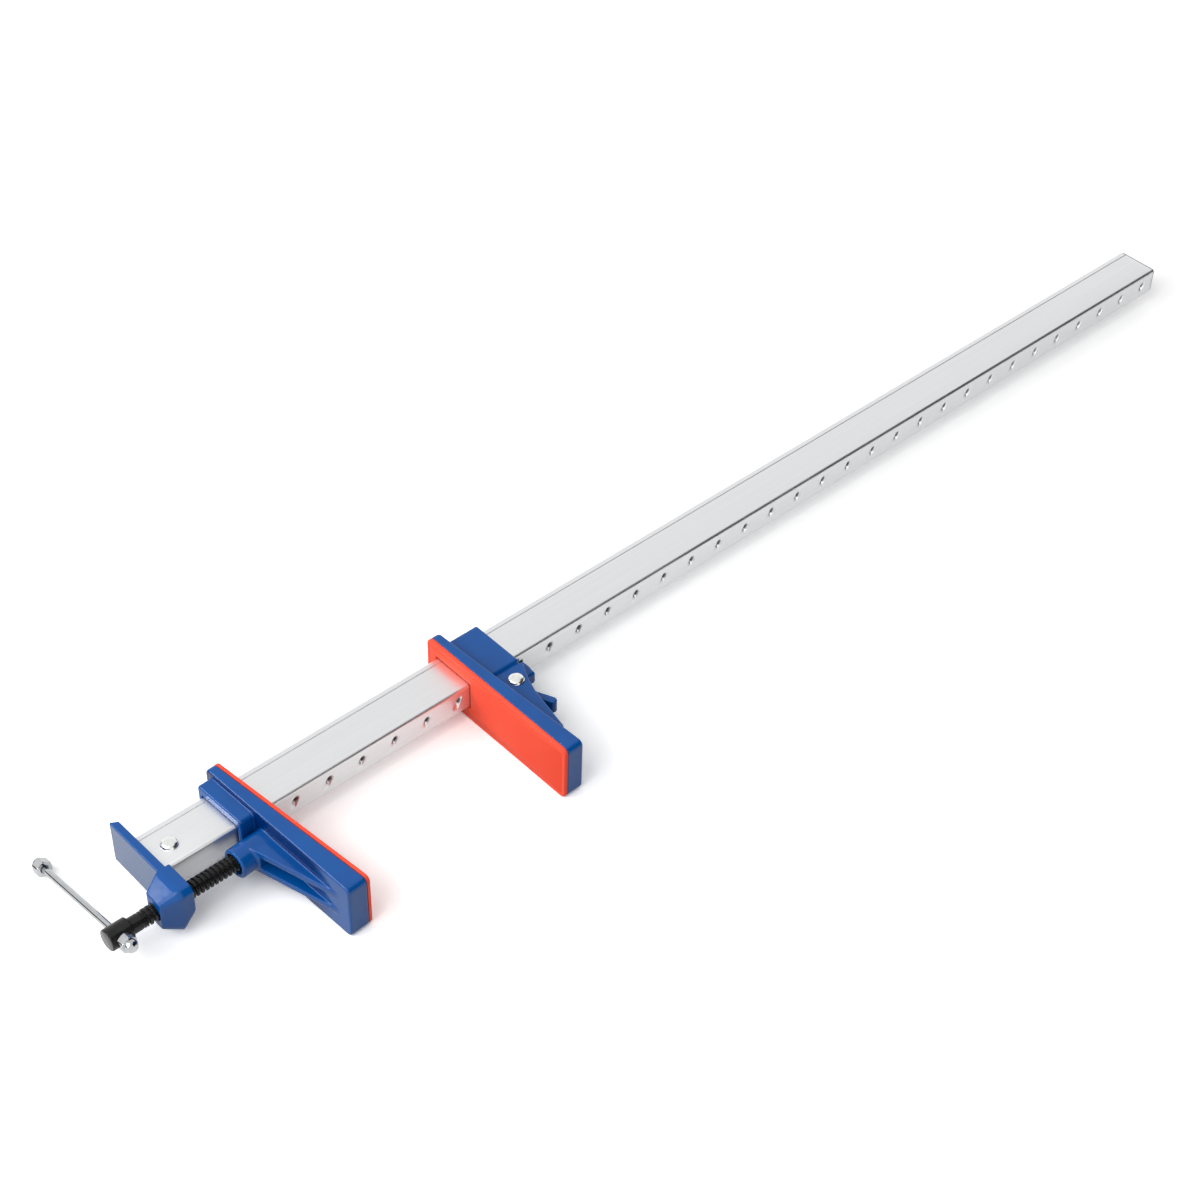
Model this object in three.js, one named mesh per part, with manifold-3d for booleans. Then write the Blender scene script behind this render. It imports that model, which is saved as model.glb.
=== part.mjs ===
// Parallel bar clamp lying on its two jaws, in millimetres, +Z up, bar along X
import * as THREE from "three";
import Module from "manifold-3d";
import { mergeVertices } from "three/addons/utils/BufferGeometryUtils.js";
import { ConvexGeometry } from "three/addons/geometries/ConvexGeometry.js";

const wasm = await Module();
wasm.setup();

// Clearances between pieces, and how far a cut passes its surface
const seatGap = 0.3;
const runningGap = 0.3;
const frontPlay = 1;
const slidePlay = 0.8;
const swivelGap = 0.6;
const overrun = 1;

// Counts of flat sides on round shapes
const fineSides = 28;
const plainSides = 20;
const cornerSteps = 2;

// Bar, an extruded box section; its screw end is at X = 0
const barLength = 906;
const barWidth = 32;
const barHeight = 20;
const barWall = 2;
const barCornerRadius = 1.4;
const barBoreRadius = 0.8;
const grooveInset = 4.8;
const grooveWidth = 0.6;
const grooveDepth = 0.4;

// Row of punched notches in the bar's screw side
const notchPitch = 25;
const firstNotch = 92.5;
const notchWidth = 3.4;
const notchHeight = 11;
const notchCornerRadius = 0.8;

// Both jaws
const jawLength = 130;
const jawHeight = 41;
const jawOverBar = 9;
const jawCornerRadius = 4;
const padThickness = 2.4;
const padStudRadius = 2.4;
const padStudLength = 3.6;
const padStudInset = 18;
const padStudEdge = 14.6;

// Screw, its axis parallel to the bar on the notched side
const screwOffset = 30.4;
const threadRadius = 5.55;
const threadCoreRadius = 4.3;
const threadPitch = 3.175;
const threadLength = 82.6;
const threadSides = 16;
const neckRadius = 5.2;
const neckLength = 9;
const headRadius = 7;
const headLength = 15.1;
const headChamfer = 0.7;
const noseRadius = 3.5;
const noseGrooveRadius = 2.8;
const noseSlotWidth = 2;
const noseTipLength = 1.2;

// Thread section over one pitch, as shares of the pitch and of the thread's depth
const threadProfileShares = [[0, 0], [0.3, 1], [0.5, 1], [0.8, 0], [1, 0]];

// Thrust washer and retaining ring on the screw's nose
const washerRadius = 6.3;
const washerThickness = 1.6;
const ringRadius = 5.4;
const ringThickness = 1.2;

// Handle, a rod through the screw's head with a dome nut on each end
const handleRadius = 2.2;
const handleLength = 86.5;
const handleTilt = THREE.MathUtils.degToRad(-9.8);
const domeNutAcross = 9.8;
const domeNutHexLength = 5.6;
const domeNutRadius = 4.7;
const domeNutWall = 1.6;

// Dome of a nut, as shares of its radius
const domeShares = [[0, 1], [0.38, 0.92], [0.71, 0.71], [0.92, 0.38], [1, 0]];

// Fixed head, the casting that plugs the bar and carries the screw
const headPlateThickness = 6;
const headPlateHeight = 32;
const headPlateOverBar = 14;
const headPlateTaper = 0.8;
const tongueLength = 28;
const headBossWidth = 24;
const headBossInner = 2.6;
const headBossOuter = 11.6;
const headBossMouthWidth = 13.6;
const headBossMouthHeight = 21;
const headBossMouthChamfer = 2;
const headBossTopChamfer = 3.5;
const headBossLowChamfer = 13;
const headRivetPlace = 13.5;
const headRivetShift = -2;

// Rivets with domed heads
const rivetRadius = 3;
const rivetHeadRadius = 5.5;
const rivetHeadHeight = 2.8;

// Dome of a rivet head, as shares of its height and radius
const rivetDomeShares = [[0, 1], [0.3, 0.96], [0.6, 0.8], [0.86, 0.48], [1, 0]];

// Front jaw, pushed by the screw and cocked on the bar
const jawCock = THREE.MathUtils.degToRad(2.5);
const jawToeIn = THREE.MathUtils.degToRad(3.3);
const frontJawBack = 60.8;
const frontPlateFarThickness = 6;
const swivelDepth = 2;
const collarDepth = 10;
const collarWall = 3.2;
const collarTopWall = 6;
const collarRadius = 2.5;
const jawBossRadius = 9.5;
const jawBossLength = 24;
const socketPlay = 1.5;
const socketFloor = 1.2;
const noseHolePlay = 0.6;
const nosePocketRadius = 7;
const nosePocketFloor = 4.6;
const gussetDepth = 15;
const gussetTip = 12.6;
const gussetStep = 0.5;
const gussetRib = 4.2;

// Sliding jaw, square to the bar and locked by its latch
const slideJawFront = 229.3;
const slideTipThickness = 12;
const hubBack = 32.4;
const hubWall = 3.4;
const hubNearWall = 6;
const hubTopWall = 4;
const hubRadius = 2.5;
const webReach = 34.7;
const webTip = 18;
const webHeight = 23;

// Plan of the sliding jaw's plate, as shares of its tip thickness and of its length
const slidePlateShares = [[0, 0], [1, 0], [0.5, 1], [0, 1]];

// Plan of the web behind that plate, as shares of its reach and of its length
const webShares = [
  [0, 0],
  [0.888, 0],
  [1, 0.015],
  [0.798, 0.246],
  [0.7, 0.4],
  [0.481, 0.89],
  [0.346, 1],
  [0, 1],
];

// Latch, a bell crank with a tooth at the bar and a thumb tab
const latchPivotBehind = 21.1;
const latchPivotBelow = 16.5;
const latchThickness = 10;
const latchHubRadius = 6;
const latchNoseReach = 13;
const latchNoseRise = 9.6;
const latchNoseRadius = 5.5;
const latchToothWidth = 2.8;
const latchTabLength = 25;
const latchTabRadius = 2.7;
const latchTabAngle = THREE.MathUtils.degToRad(-65.5);

// Slot in the web for the latch
const latchSlotFront = 9.5;
const latchSlotReach = 30;
const latchSlotGap = 0.5;

// Latch spring, a small coil between the slot's front wall and the tab
const springRadius = 2.4;
const springWireRadius = 0.4;
const springBelowPivot = 17.5;
const springTurns = 6;
const springStepsPerTurn = 8;
const springWireSides = 3;

// Finishes
const enamel = new THREE.MeshStandardMaterial({ color: 0x2458a4, roughness: 0.3, metalness: 0 });
const padPlastic = new THREE.MeshStandardMaterial({ color: 0xff5a45, roughness: 0.6, metalness: 0 });
const aluminium = new THREE.MeshStandardMaterial({ color: 0xdadbdc, roughness: 0.4, metalness: 1 });
const zincPlate = new THREE.MeshStandardMaterial({ color: 0xd8d8d6, roughness: 0.2, metalness: 1 });
const chromePlate = new THREE.MeshStandardMaterial({ color: 0xe4e6e8, roughness: 0.08, metalness: 1 });
const blackOxide = new THREE.MeshStandardMaterial({ color: 0x2a2a2b, roughness: 0.4, metalness: 0.7 });
const springSteel = new THREE.MeshStandardMaterial({ color: 0x9a9da0, roughness: 0.35, metalness: 1 });

// Heights and edges that several pieces share
const axisHeight = jawHeight / 2;
const barBottom = axisHeight - barHeight / 2;
const barTop = axisHeight + barHeight / 2;
const barSide = barWidth / 2;
const jawFar = barSide + jawOverBar;
const screwY = -screwOffset;

// Places along the screw, from its nose in the front jaw back to its head
const noseShoulder = frontJawBack - socketFloor - swivelGap - washerThickness - seatGap;
const noseRing = frontJawBack + nosePocketFloor + swivelGap;
const threadStart = noseShoulder - threadLength;
const headEnd = threadStart - neckLength - headLength;
const handlePlace = headEnd + headLength / 2;
const headMouth = -headPlateThickness - headBossOuter;

// Open faces of the two dome nuts, the near one resting by the screw's head
const handleNearFace = headRadius + seatGap;
const handleFarFace = handleLength - handleNearFace;

// Last notch that fits on the bar
const notchCount = Math.floor((barLength - firstNotch) / notchPitch) + 1;

// Web of the sliding jaw, from its hub to the bare tip of the plate
const webLength = jawLength - jawFar - barSide - hubNearWall - webTip;

// Latch pivot behind the sliding jaw's face, and the spring between slot and tab
const latchPivotY = -barSide - latchPivotBelow;
const springStart = latchSlotFront + seatGap + springWireRadius;
const springTop = springBelowPivot - springRadius - springWireRadius;
const tabFront = springTop / Math.tan(-latchTabAngle) - latchTabRadius / Math.sin(-latchTabAngle);
const springEnd = latchPivotBehind + tabFront - seatGap - springWireRadius;

// Front jaw's far end, its gusset, its face at the screw's axis, and how much longer the tilted face is
const frontFar = jawFar + screwOffset;
const gussetLength = jawLength - frontFar - gussetTip;
const frontFace = frontPlateFarThickness + frontFar * Math.tan(jawToeIn);
const stretch = 1 / Math.cos(jawToeIn);

// Solid from a closed geometry, its shared corners merged and its collapsed triangles left out
function solidOf(geometry) {
  const bare = geometry.clone();
  bare.deleteAttribute("normal");
  bare.deleteAttribute("uv");
  const merged = mergeVertices(bare);
  const corners = merged.index.array;
  const kept = [];
  for (let first = 0; first < corners.length; first += 3) {
    const [a, b, c] = corners.slice(first, first + 3);
    if (a !== b && b !== c && c !== a) {
      kept.push(a, b, c);
    }
  }
  const triVerts = Uint32Array.from(kept);
  const vertProperties = Float32Array.from(merged.attributes.position.array);
  return new wasm.Manifold(new wasm.Mesh({ numProp: 3, vertProperties, triVerts }));
}

// Mesh of a solid, named for its piece
function piece(name, solid, material) {
  const { numProp, vertProperties, triVerts } = solid.getMesh();
  const geometry = new THREE.BufferGeometry();
  geometry.setAttribute("position", new THREE.BufferAttribute(Float32Array.from(vertProperties), numProp));
  geometry.setIndex(new THREE.BufferAttribute(Uint32Array.from(triVerts), 1));
  geometry.computeVertexNormals();
  const mesh = new THREE.Mesh(geometry, material);
  mesh.name = name;
  return mesh;
}

// Group of pieces at a place and a turn
function assembly(pieces, place, turn = new THREE.Euler()) {
  const group = new THREE.Group();
  group.add(...pieces);
  group.position.copy(place);
  group.rotation.copy(turn);
  return group;
}

const xAxis = new THREE.Vector3(1, 0, 0);
const yAxis = new THREE.Vector3(0, 1, 0);
const zAxis = new THREE.Vector3(0, 0, 1);

// Extrusion of a flat shape, with the part's axes that its width, height and depth follow
function extruded(shape, low, high, across, up, along) {
  const geometry = new THREE.ExtrudeGeometry(shape, {
    depth: high - low,
    bevelEnabled: false,
    curveSegments: cornerSteps,
  });
  geometry.translate(0, 0, low);
  geometry.applyMatrix4(new THREE.Matrix4().makeBasis(across, up, along));
  return solidOf(geometry);
}

// Shape given in Y and Z, extruded along X
function alongX(shape, low, high) {
  return extruded(shape, low, high, yAxis, zAxis, xAxis);
}

// Shape given in Z and X, extruded along Y
function alongY(shape, low, high) {
  return extruded(shape, low, high, zAxis, xAxis, yAxis);
}

// Shape given in X and Y, extruded along Z
function alongZ(shape, low, high) {
  return extruded(shape, low, high, xAxis, yAxis, zAxis);
}

// Closed outline through the given points
function outline(points) {
  return new THREE.Shape(points.map(([across, up]) => new THREE.Vector2(across, up)));
}

// Rectangle with round corners between two opposite corners
function roundedBox(left, low, right, high, radius) {
  const shape = new THREE.Shape();
  const quarter = Math.PI / 2;
  shape.absarc(right - radius, low + radius, radius, -quarter, 0);
  shape.absarc(right - radius, high - radius, radius, 0, quarter);
  shape.absarc(left + radius, high - radius, radius, quarter, Math.PI);
  shape.absarc(left + radius, low + radius, radius, Math.PI, Math.PI + quarter);
  return shape;
}

// Block between two opposite corners
function block(low, high) {
  const size = new THREE.Vector3().subVectors(high, low);
  const middle = new THREE.Vector3().addVectors(low, high).divideScalar(2);
  const geometry = new THREE.BoxGeometry(size.x, size.y, size.z);
  geometry.translate(middle.x, middle.y, middle.z);
  return solidOf(geometry);
}

// Smallest convex solid round the given corners
function hull(corners) {
  return solidOf(new ConvexGeometry(corners.map(([x, y, z]) => new THREE.Vector3(x, y, z))));
}

// Lathe about the Y axis from pairs of place along the axis and radius
function lathe(profile, sides) {
  return new THREE.LatheGeometry(profile.map(([along, radius]) => new THREE.Vector2(radius, along)), sides);
}

// Round solids about the X, Y and Z axes
function turnedX(profile, sides = plainSides) {
  return solidOf(lathe(profile, sides).rotateZ(-Math.PI / 2));
}

function turnedY(profile, sides = plainSides) {
  return solidOf(lathe(profile, sides));
}

function turnedZ(profile, sides = plainSides) {
  return solidOf(lathe(profile, sides).rotateX(Math.PI / 2));
}

// Profile of a plain cylinder
function cylinder(radius, low, high) {
  return [[low, 0], [low, radius], [high, radius], [high, 0]];
}

// Profile of a flat ring
function ring(bore, radius, low, high) {
  return [[low, bore], [low, radius], [high, radius], [high, bore], [low, bore]];
}

// Rivet about the Z axis, with a domed head beyond each of two faces
function rivet(low, high) {
  const dome = rivetDomeShares.map(([riseShare, radiusShare]) => (
    [rivetHeadHeight * riseShare, rivetHeadRadius * radiusShare]));
  const upper = dome.map(([rise, radius]) => [high + rise, radius]);
  const lower = dome.map(([rise, radius]) => [low - rise, radius]).reverse();
  return turnedZ([...lower, [low, rivetRadius], [high, rivetRadius], ...upper]);
}

// Bar with a fine groove top and bottom along its plain side, its notches and its rivet hole
function makeBar() {
  const top = barHeight / 2;
  const section = roundedBox(-barSide, -top, barSide, top, barCornerRadius);
  section.holes.push(roundedBox(
    -barSide + barWall, -top + barWall, barSide - barWall, top - barWall, barBoreRadius));
  let bar = alongX(section, 0, barLength);
  const groove = barSide - grooveInset;
  for (const face of [-top, top]) {
    bar = bar.subtract(block(
      new THREE.Vector3(-overrun, groove - grooveWidth / 2, face - grooveDepth),
      new THREE.Vector3(barLength + overrun, groove + grooveWidth / 2, face + grooveDepth)));
  }
  for (let index = 0; index < notchCount; index += 1) {
    const place = firstNotch + index * notchPitch;
    const slot = roundedBox(
      -notchHeight / 2, place - notchWidth / 2, notchHeight / 2, place + notchWidth / 2, notchCornerRadius);
    bar = bar.subtract(alongY(slot, -barSide - overrun, -barSide + barWall + overrun));
  }
  const hole = turnedZ(cylinder(rivetRadius + seatGap, -barHeight, barHeight));
  return bar
    .subtract(hole.translate([headRivetPlace, headRivetShift, 0]))
    .translate([0, 0, axisHeight]);
}

// Fixed head: plate across the bar's end, tongue inside the bar and boss for the screw
function makeFixedHead() {
  const half = headPlateHeight / 2;
  const far = barSide + headPlateOverBar;
  const plate = alongZ(outline([
    [-headPlateThickness, screwY],
    [0, screwY],
    [-headPlateTaper, far],
    [-headPlateThickness, far],
  ]), axisHeight - half, axisHeight + half);
  const inset = barWall + seatGap;
  const tongue = block(
    new THREE.Vector3(-headPlateThickness / 2, -barSide + inset, barBottom + inset),
    new THREE.Vector3(tongueLength, barSide - inset, barTop - inset));
  const hole = turnedZ(cylinder(rivetRadius + seatGap, barBottom, barTop));
  const bore = turnedX(cylinder(
    threadRadius + runningGap, headMouth - overrun, headBossInner + overrun), fineSides);
  return plate
    .add(tongue)
    .add(makeHeadBoss(half))
    .subtract(hole.translate([headRivetPlace, headRivetShift, 0]))
    .subtract(bore.translate([0, screwY, axisHeight]));
}

// Boss of the fixed head, a faceted block that narrows outwards to the screw's mouth
function makeHeadBoss(half) {
  const side = headBossWidth / 2;
  const mouthSide = headBossMouthWidth / 2;
  const mouthHalf = headBossMouthHeight / 2;
  const section = (x, far, near, height, topChamfer, lowChamfer) => [
    [x, far, -height],
    [x, far, height],
    [x, topChamfer - near, height],
    [x, -near, height - topChamfer],
    [x, -near, lowChamfer - height],
    [x, lowChamfer / 2 - near, -height],
  ];
  const corners = [
    ...section(headBossInner, side, side, half, headBossTopChamfer, headBossLowChamfer),
    ...section(-headPlateThickness, side, side, half, headBossTopChamfer, headBossTopChamfer),
    ...section(headMouth, mouthSide, mouthSide, mouthHalf, headBossMouthChamfer, headBossMouthChamfer),
  ];
  return hull(corners.map(([x, y, z]) => [x, screwY + y, axisHeight + z]));
}

// Helical thread about the X axis between two places, cut square at both ends
function makeThread(low, high) {
  const rows = threadProfileShares.length - 1;
  const steps = (Math.ceil((high - low) / threadPitch) + 2) * threadSides;
  const start = low - threadPitch;
  const corner = (step, row) => {
    const [alongShare, riseShare] = threadProfileShares[row];
    const angle = (step % threadSides) / threadSides * Math.PI * 2;
    const radius = threadCoreRadius + (threadRadius - threadCoreRadius) * riseShare;
    const x = start + threadPitch * (step + alongShare * threadSides) / threadSides;
    return [x, radius * Math.cos(angle), radius * Math.sin(angle)];
  };
  const positions = [];
  for (let step = 0; step < steps; step += 1) {
    for (let row = 0; row < rows; row += 1) {
      const here = corner(step, row);
      const there = corner(step + 1, row + 1);
      positions.push(...here, ...corner(step + 1, row), ...there);
      positions.push(...here, ...there, ...corner(step, row + 1));
    }
  }
  const first = [];
  const last = [];
  for (let step = 0; step <= threadSides; step += 1) {
    first.push(corner(threadSides - step, 0));
    last.push(corner(steps - threadSides + step, rows));
  }
  for (let row = 1; row < rows; row += 1) {
    first.push(corner(0, row));
    last.push(corner(steps, rows - row));
  }
  for (const [rim, x] of [[first, start], [last, start + threadPitch * steps / threadSides]]) {
    const middle = [x + threadPitch / 2, 0, 0];
    rim.forEach((point, place) => {
      positions.push(...middle, ...point, ...rim[(place + 1) % rim.length]);
    });
  }
  const geometry = new THREE.BufferGeometry();
  geometry.setAttribute("position", new THREE.Float32BufferAttribute(positions, 3));
  return solidOf(geometry).intersect(turnedX(cylinder(threadRadius + overrun, low, high)));
}

// Clamp screw about the X axis: cross-drilled head, neck, thread and grooved nose
function makeScrew() {
  const noseSlot = noseRing - (noseSlotWidth - ringThickness) / 2;
  const blank = turnedX([
    [headEnd, 0],
    [headEnd, headRadius - headChamfer],
    [headEnd + headChamfer, headRadius],
    [headEnd + headLength - headChamfer, headRadius],
    [headEnd + headLength, headRadius - headChamfer],
    [headEnd + headLength, neckRadius],
    [threadStart - headChamfer, neckRadius],
    [threadStart, noseRadius],
    [noseSlot, noseRadius],
    [noseSlot, noseGrooveRadius],
    [noseSlot + noseSlotWidth, noseGrooveRadius],
    [noseSlot + noseSlotWidth, noseRadius],
    [noseSlot + noseSlotWidth + noseTipLength, noseRadius],
    [noseSlot + noseSlotWidth + noseTipLength, 0],
  ], fineSides);
  const hole = turnedY(cylinder(handleRadius + runningGap, -headRadius - overrun, headRadius + overrun));
  return blank
    .add(makeThread(threadStart, noseShoulder))
    .subtract(hole.translate([handlePlace, 0, 0]));
}

// Handle rod about the Y axis, its ends inside the dome nuts
function makeHandleRod() {
  const depth = domeNutHexLength + domeNutRadius - domeNutWall - seatGap;
  return turnedY(cylinder(handleRadius, -handleNearFace - depth, handleFarFace + depth));
}

// Dome nut along Y, its open face at zero
function makeDomeNut() {
  const hexRadius = domeNutAcross / Math.sqrt(3);
  const dome = domeShares.map(([riseShare, radiusShare]) => (
    [domeNutHexLength + domeNutRadius * riseShare, domeNutRadius * radiusShare]));
  const bore = cylinder(
    handleRadius + seatGap, -overrun, domeNutHexLength + domeNutRadius - domeNutWall);
  return solidOf(lathe(cylinder(hexRadius, 0, domeNutHexLength), 6))
    .add(turnedY([[domeNutHexLength / 2, 0], [domeNutHexLength / 2, domeNutRadius], ...dome]))
    .subtract(turnedY(bore));
}

// Solid made in a pad's frame, set on a jaw's tilted face
function onFace(solid, face, tilt) {
  return solid.rotate([0, 0, THREE.MathUtils.radToDeg(tilt)]).translate([face, 0, 0]);
}

// Places of the pad's two studs: one below the screw axis or the bar, one above the near edge
function studPlaces(near, offset) {
  return [offset - padStudInset, near + padStudEdge];
}

// Holes in a casting for the pad's studs
function studHoles(near, offset) {
  const hole = turnedX(cylinder(padStudRadius + seatGap, -padStudLength - seatGap, overrun));
  const [upper, lower] = studPlaces(near, offset);
  return hole.translate([0, upper, axisHeight]).add(hole.translate([0, lower, axisHeight]));
}

// Jaw pad in its own frame, with the bar's window and two studs behind
function makePad(near, far, barMiddle, play, offset) {
  const reach = barSide + play;
  const low = barBottom - play;
  const high = barTop + play;
  const back = seatGap;
  const shape = roundedBox(near, 0, far, jawHeight, jawCornerRadius);
  shape.holes.push(roundedBox(barMiddle - reach, low, barMiddle + reach, high, barCornerRadius));
  const stud = turnedX(cylinder(padStudRadius, -padStudLength, back + padThickness / 2));
  const [upper, lower] = studPlaces(near, offset);
  return alongX(shape, back, back + padThickness)
    .add(stud.translate([0, upper, axisHeight]))
    .add(stud.translate([0, lower, axisHeight]));
}

// Window through a jaw for the bar
function barWindow(low, high, barMiddle, play) {
  const reach = barSide + play;
  return alongX(roundedBox(
    barMiddle - reach, barBottom - play, barMiddle + reach, barTop + play, barCornerRadius), low, high);
}

// Front jaw in its own frame: X = 0 at the plate's back, Y = 0 at the screw's axis
function makeFrontJaw() {
  const near = frontFar - jawLength;
  const tipThickness = frontPlateFarThickness + jawLength * Math.tan(jawToeIn);
  const slab = alongX(roundedBox(near, 0, frontFar, jawHeight, jawCornerRadius), 0, tipThickness);
  const wedge = alongZ(outline([
    [0, near],
    [tipThickness, near],
    [frontPlateFarThickness, frontFar],
    [0, frontFar],
  ]), 0, jawHeight);
  const reach = barSide + frontPlay + collarWall;
  const collarLow = barBottom - frontPlay - collarTopWall;
  const collarHigh = barTop + frontPlay + collarTopWall;
  const collar = alongX(roundedBox(
    screwOffset - reach, collarLow, screwOffset + reach, collarHigh, collarRadius), -collarDepth, seatGap);
  const boss = turnedX(cylinder(jawBossRadius, -jawBossLength, seatGap), fineSides);
  const socket = turnedX(cylinder(
    threadRadius + socketPlay, -jawBossLength - overrun, -socketFloor), fineSides);
  const noseHole = turnedX(cylinder(noseRadius + noseHolePlay, -jawBossLength, tipThickness));
  const pocket = turnedX(cylinder(nosePocketRadius, nosePocketFloor, tipThickness + overrun));
  const raised = (solid) => solid.translate([0, 0, axisHeight]);
  return slab
    .intersect(wedge)
    .add(collar)
    .add(makeGusset())
    .add(raised(boss))
    .subtract(barWindow(-collarDepth - overrun, tipThickness + overrun, screwOffset, frontPlay))
    .subtract(raised(socket))
    .subtract(raised(noseHole))
    .subtract(raised(pocket))
    .subtract(onFace(studHoles(near * stretch, 0), frontFace, jawToeIn));
}

// Gusset from the boss towards the jaw's tip: two ribs that run out on the plate's back
function makeGusset() {
  const half = jawBossRadius - gussetStep;
  const solid = alongZ(outline([
    [0, 0],
    [-gussetDepth, 0],
    [0, -gussetLength],
  ]), axisHeight - half, axisHeight + half);
  const channel = block(
    new THREE.Vector3(-gussetDepth - overrun, -gussetLength - overrun, axisHeight - half + gussetRib),
    new THREE.Vector3(0, -jawBossRadius, axisHeight + half - gussetRib));
  return solid.subtract(channel);
}

// Sliding jaw in its own frame: X = 0 at the casting's front, Y = 0 at the bar's middle
function makeSlidingJaw() {
  const near = jawFar - jawLength;
  const slab = alongX(roundedBox(near, 0, jawFar, jawHeight, jawCornerRadius), 0, slideTipThickness);
  const plan = alongZ(outline(slidePlateShares.map(([depthShare, lengthShare]) => (
    [slideTipThickness * depthShare, near + jawLength * lengthShare]))), 0, jawHeight);
  const hubHalf = barHeight / 2 + hubTopWall;
  const hub = alongX(roundedBox(
    -barSide - hubNearWall, axisHeight - hubHalf, barSide + hubWall, axisHeight + hubHalf, hubRadius),
  0, hubBack);
  const web = alongZ(outline(webShares.map(([depthShare, lengthShare]) => (
    [webReach * depthShare, -barSide - hubNearWall - webLength * lengthShare]))),
  axisHeight - webHeight / 2, axisHeight + webHeight / 2);
  const slotHalf = latchThickness / 2 + latchSlotGap;
  const slot = block(
    new THREE.Vector3(latchSlotFront, latchPivotY - latchSlotReach, axisHeight - slotHalf),
    new THREE.Vector3(webReach + overrun, 0, axisHeight + slotHalf));
  const pinHole = turnedZ(cylinder(rivetRadius + seatGap, 0, jawHeight));
  return slab
    .intersect(plan)
    .add(hub)
    .add(web)
    .subtract(barWindow(-overrun, hubBack + overrun, 0, slidePlay))
    .subtract(slot)
    .subtract(pinHole.translate([latchPivotBehind, latchPivotY, 0]))
    .subtract(studHoles(near, -barSide).mirror([1, 0, 0]));
}

// Points round a circle in the XY plane
function circle(middle, radius) {
  return Array.from({ length: plainSides }, (_, side) => {
    const angle = side / plainSides * Math.PI * 2;
    return new THREE.Vector2(radius, 0).rotateAround(new THREE.Vector2(), angle).add(middle);
  });
}

// Flat plate of the latch's thickness round the given points
function latchPlate(points) {
  const half = latchThickness / 2;
  return hull(points.flatMap(({ x, y }) => [[x, y, -half], [x, y, half]]));
}

// Latch in its own frame, with its pivot at zero and the tooth just clear of the bar
function makeLatch() {
  const pivot = new THREE.Vector2();
  const hub = circle(pivot, latchHubRadius);
  const nose = circle(new THREE.Vector2(latchNoseReach, latchNoseRise), latchNoseRadius);
  const tab = new THREE.Vector2(latchTabLength, 0).rotateAround(pivot, latchTabAngle);
  const toothEnd = latchPivotBelow - seatGap;
  const toothBack = latchNoseReach + latchNoseRadius;
  const toothFront = toothBack - latchToothWidth;
  const tooth = [new THREE.Vector2(toothBack, toothEnd), new THREE.Vector2(toothFront, toothEnd)];
  const bore = turnedZ(cylinder(rivetRadius + runningGap, -latchThickness, latchThickness));
  return latchPlate([...hub, ...nose])
    .add(latchPlate([...nose, ...tooth]))
    .add(latchPlate([...circle(pivot, latchTabRadius), ...circle(tab, latchTabRadius)]))
    .subtract(bore);
}

// Centre line of a coil spring along X
class Coil extends THREE.Curve {
  constructor(length) {
    super();
    this.length = length;
  }

  getPoint(share, target = new THREE.Vector3()) {
    const angle = share * springTurns * Math.PI * 2;
    return target.set(share * this.length, springRadius * Math.cos(angle), springRadius * Math.sin(angle));
  }
}

// Latch spring along X, its first turn at zero
function makeSpring(length) {
  const wire = new THREE.Shape();
  wire.absarc(0, 0, springWireRadius, 0, Math.PI * 2);
  const geometry = new THREE.ExtrudeGeometry(wire, {
    steps: springTurns * springStepsPerTurn,
    extrudePath: new Coil(length),
    curveSegments: springWireSides,
  });
  return solidOf(geometry);
}

// Frame pieces: bar, fixed head and the rivet that joins them
const bar = piece("bar_tube", makeBar(), aluminium);
const fixedHead = piece("fixed_head", makeFixedHead(), enamel);
const headRivet = piece("head_rivet", rivet(barBottom, barTop), zincPlate);
headRivet.position.set(headRivetPlace, headRivetShift, 0);

// Screw with its washer, retaining ring and handle, turned to where the handle rests
const screw = piece("clamp_screw", makeScrew(), blackOxide);
const washer = piece("thrust_washer", turnedX(ring(
  noseRadius + runningGap, washerRadius, noseShoulder + seatGap, noseShoulder + seatGap + washerThickness)),
zincPlate);
const retainingRing = piece("nose_retaining_ring", turnedX(ring(
  noseGrooveRadius + runningGap, ringRadius, noseRing, noseRing + ringThickness)), springSteel);
const handleRod = piece("handle_rod", makeHandleRod(), chromePlate);
const farNut = piece("handle_nut_far", makeDomeNut(), chromePlate);
farNut.position.set(0, handleFarFace, 0);
const nearNut = piece("handle_nut_near", makeDomeNut(), chromePlate);
nearNut.position.set(0, -handleNearFace, 0);
nearNut.rotation.z = Math.PI;
const handle = assembly([handleRod, farNut, nearNut], new THREE.Vector3(handlePlace, 0, 0));
const screwTrain = assembly(
  [screw, washer, retainingRing, handle],
  new THREE.Vector3(0, screwY, axisHeight),
  new THREE.Euler(handleTilt, 0, 0));

// Front jaw with its pad, turned about the swivel on the screw's nose
const frontCasting = piece("front_jaw", makeFrontJaw(), enamel);
const frontPad = piece("front_jaw_pad", makePad(
  (frontFar - jawLength) * stretch, frontFar * stretch, screwOffset * stretch, frontPlay, 0), padPlastic);
frontPad.position.set(frontFace, 0, 0);
frontPad.rotation.z = jawToeIn;
const frontParts = assembly([frontCasting, frontPad], new THREE.Vector3(-swivelDepth, 0, 0));
const frontJaw = assembly(
  [frontParts],
  new THREE.Vector3(frontJawBack + swivelDepth, screwY, 0),
  new THREE.Euler(0, 0, jawCock));

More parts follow.
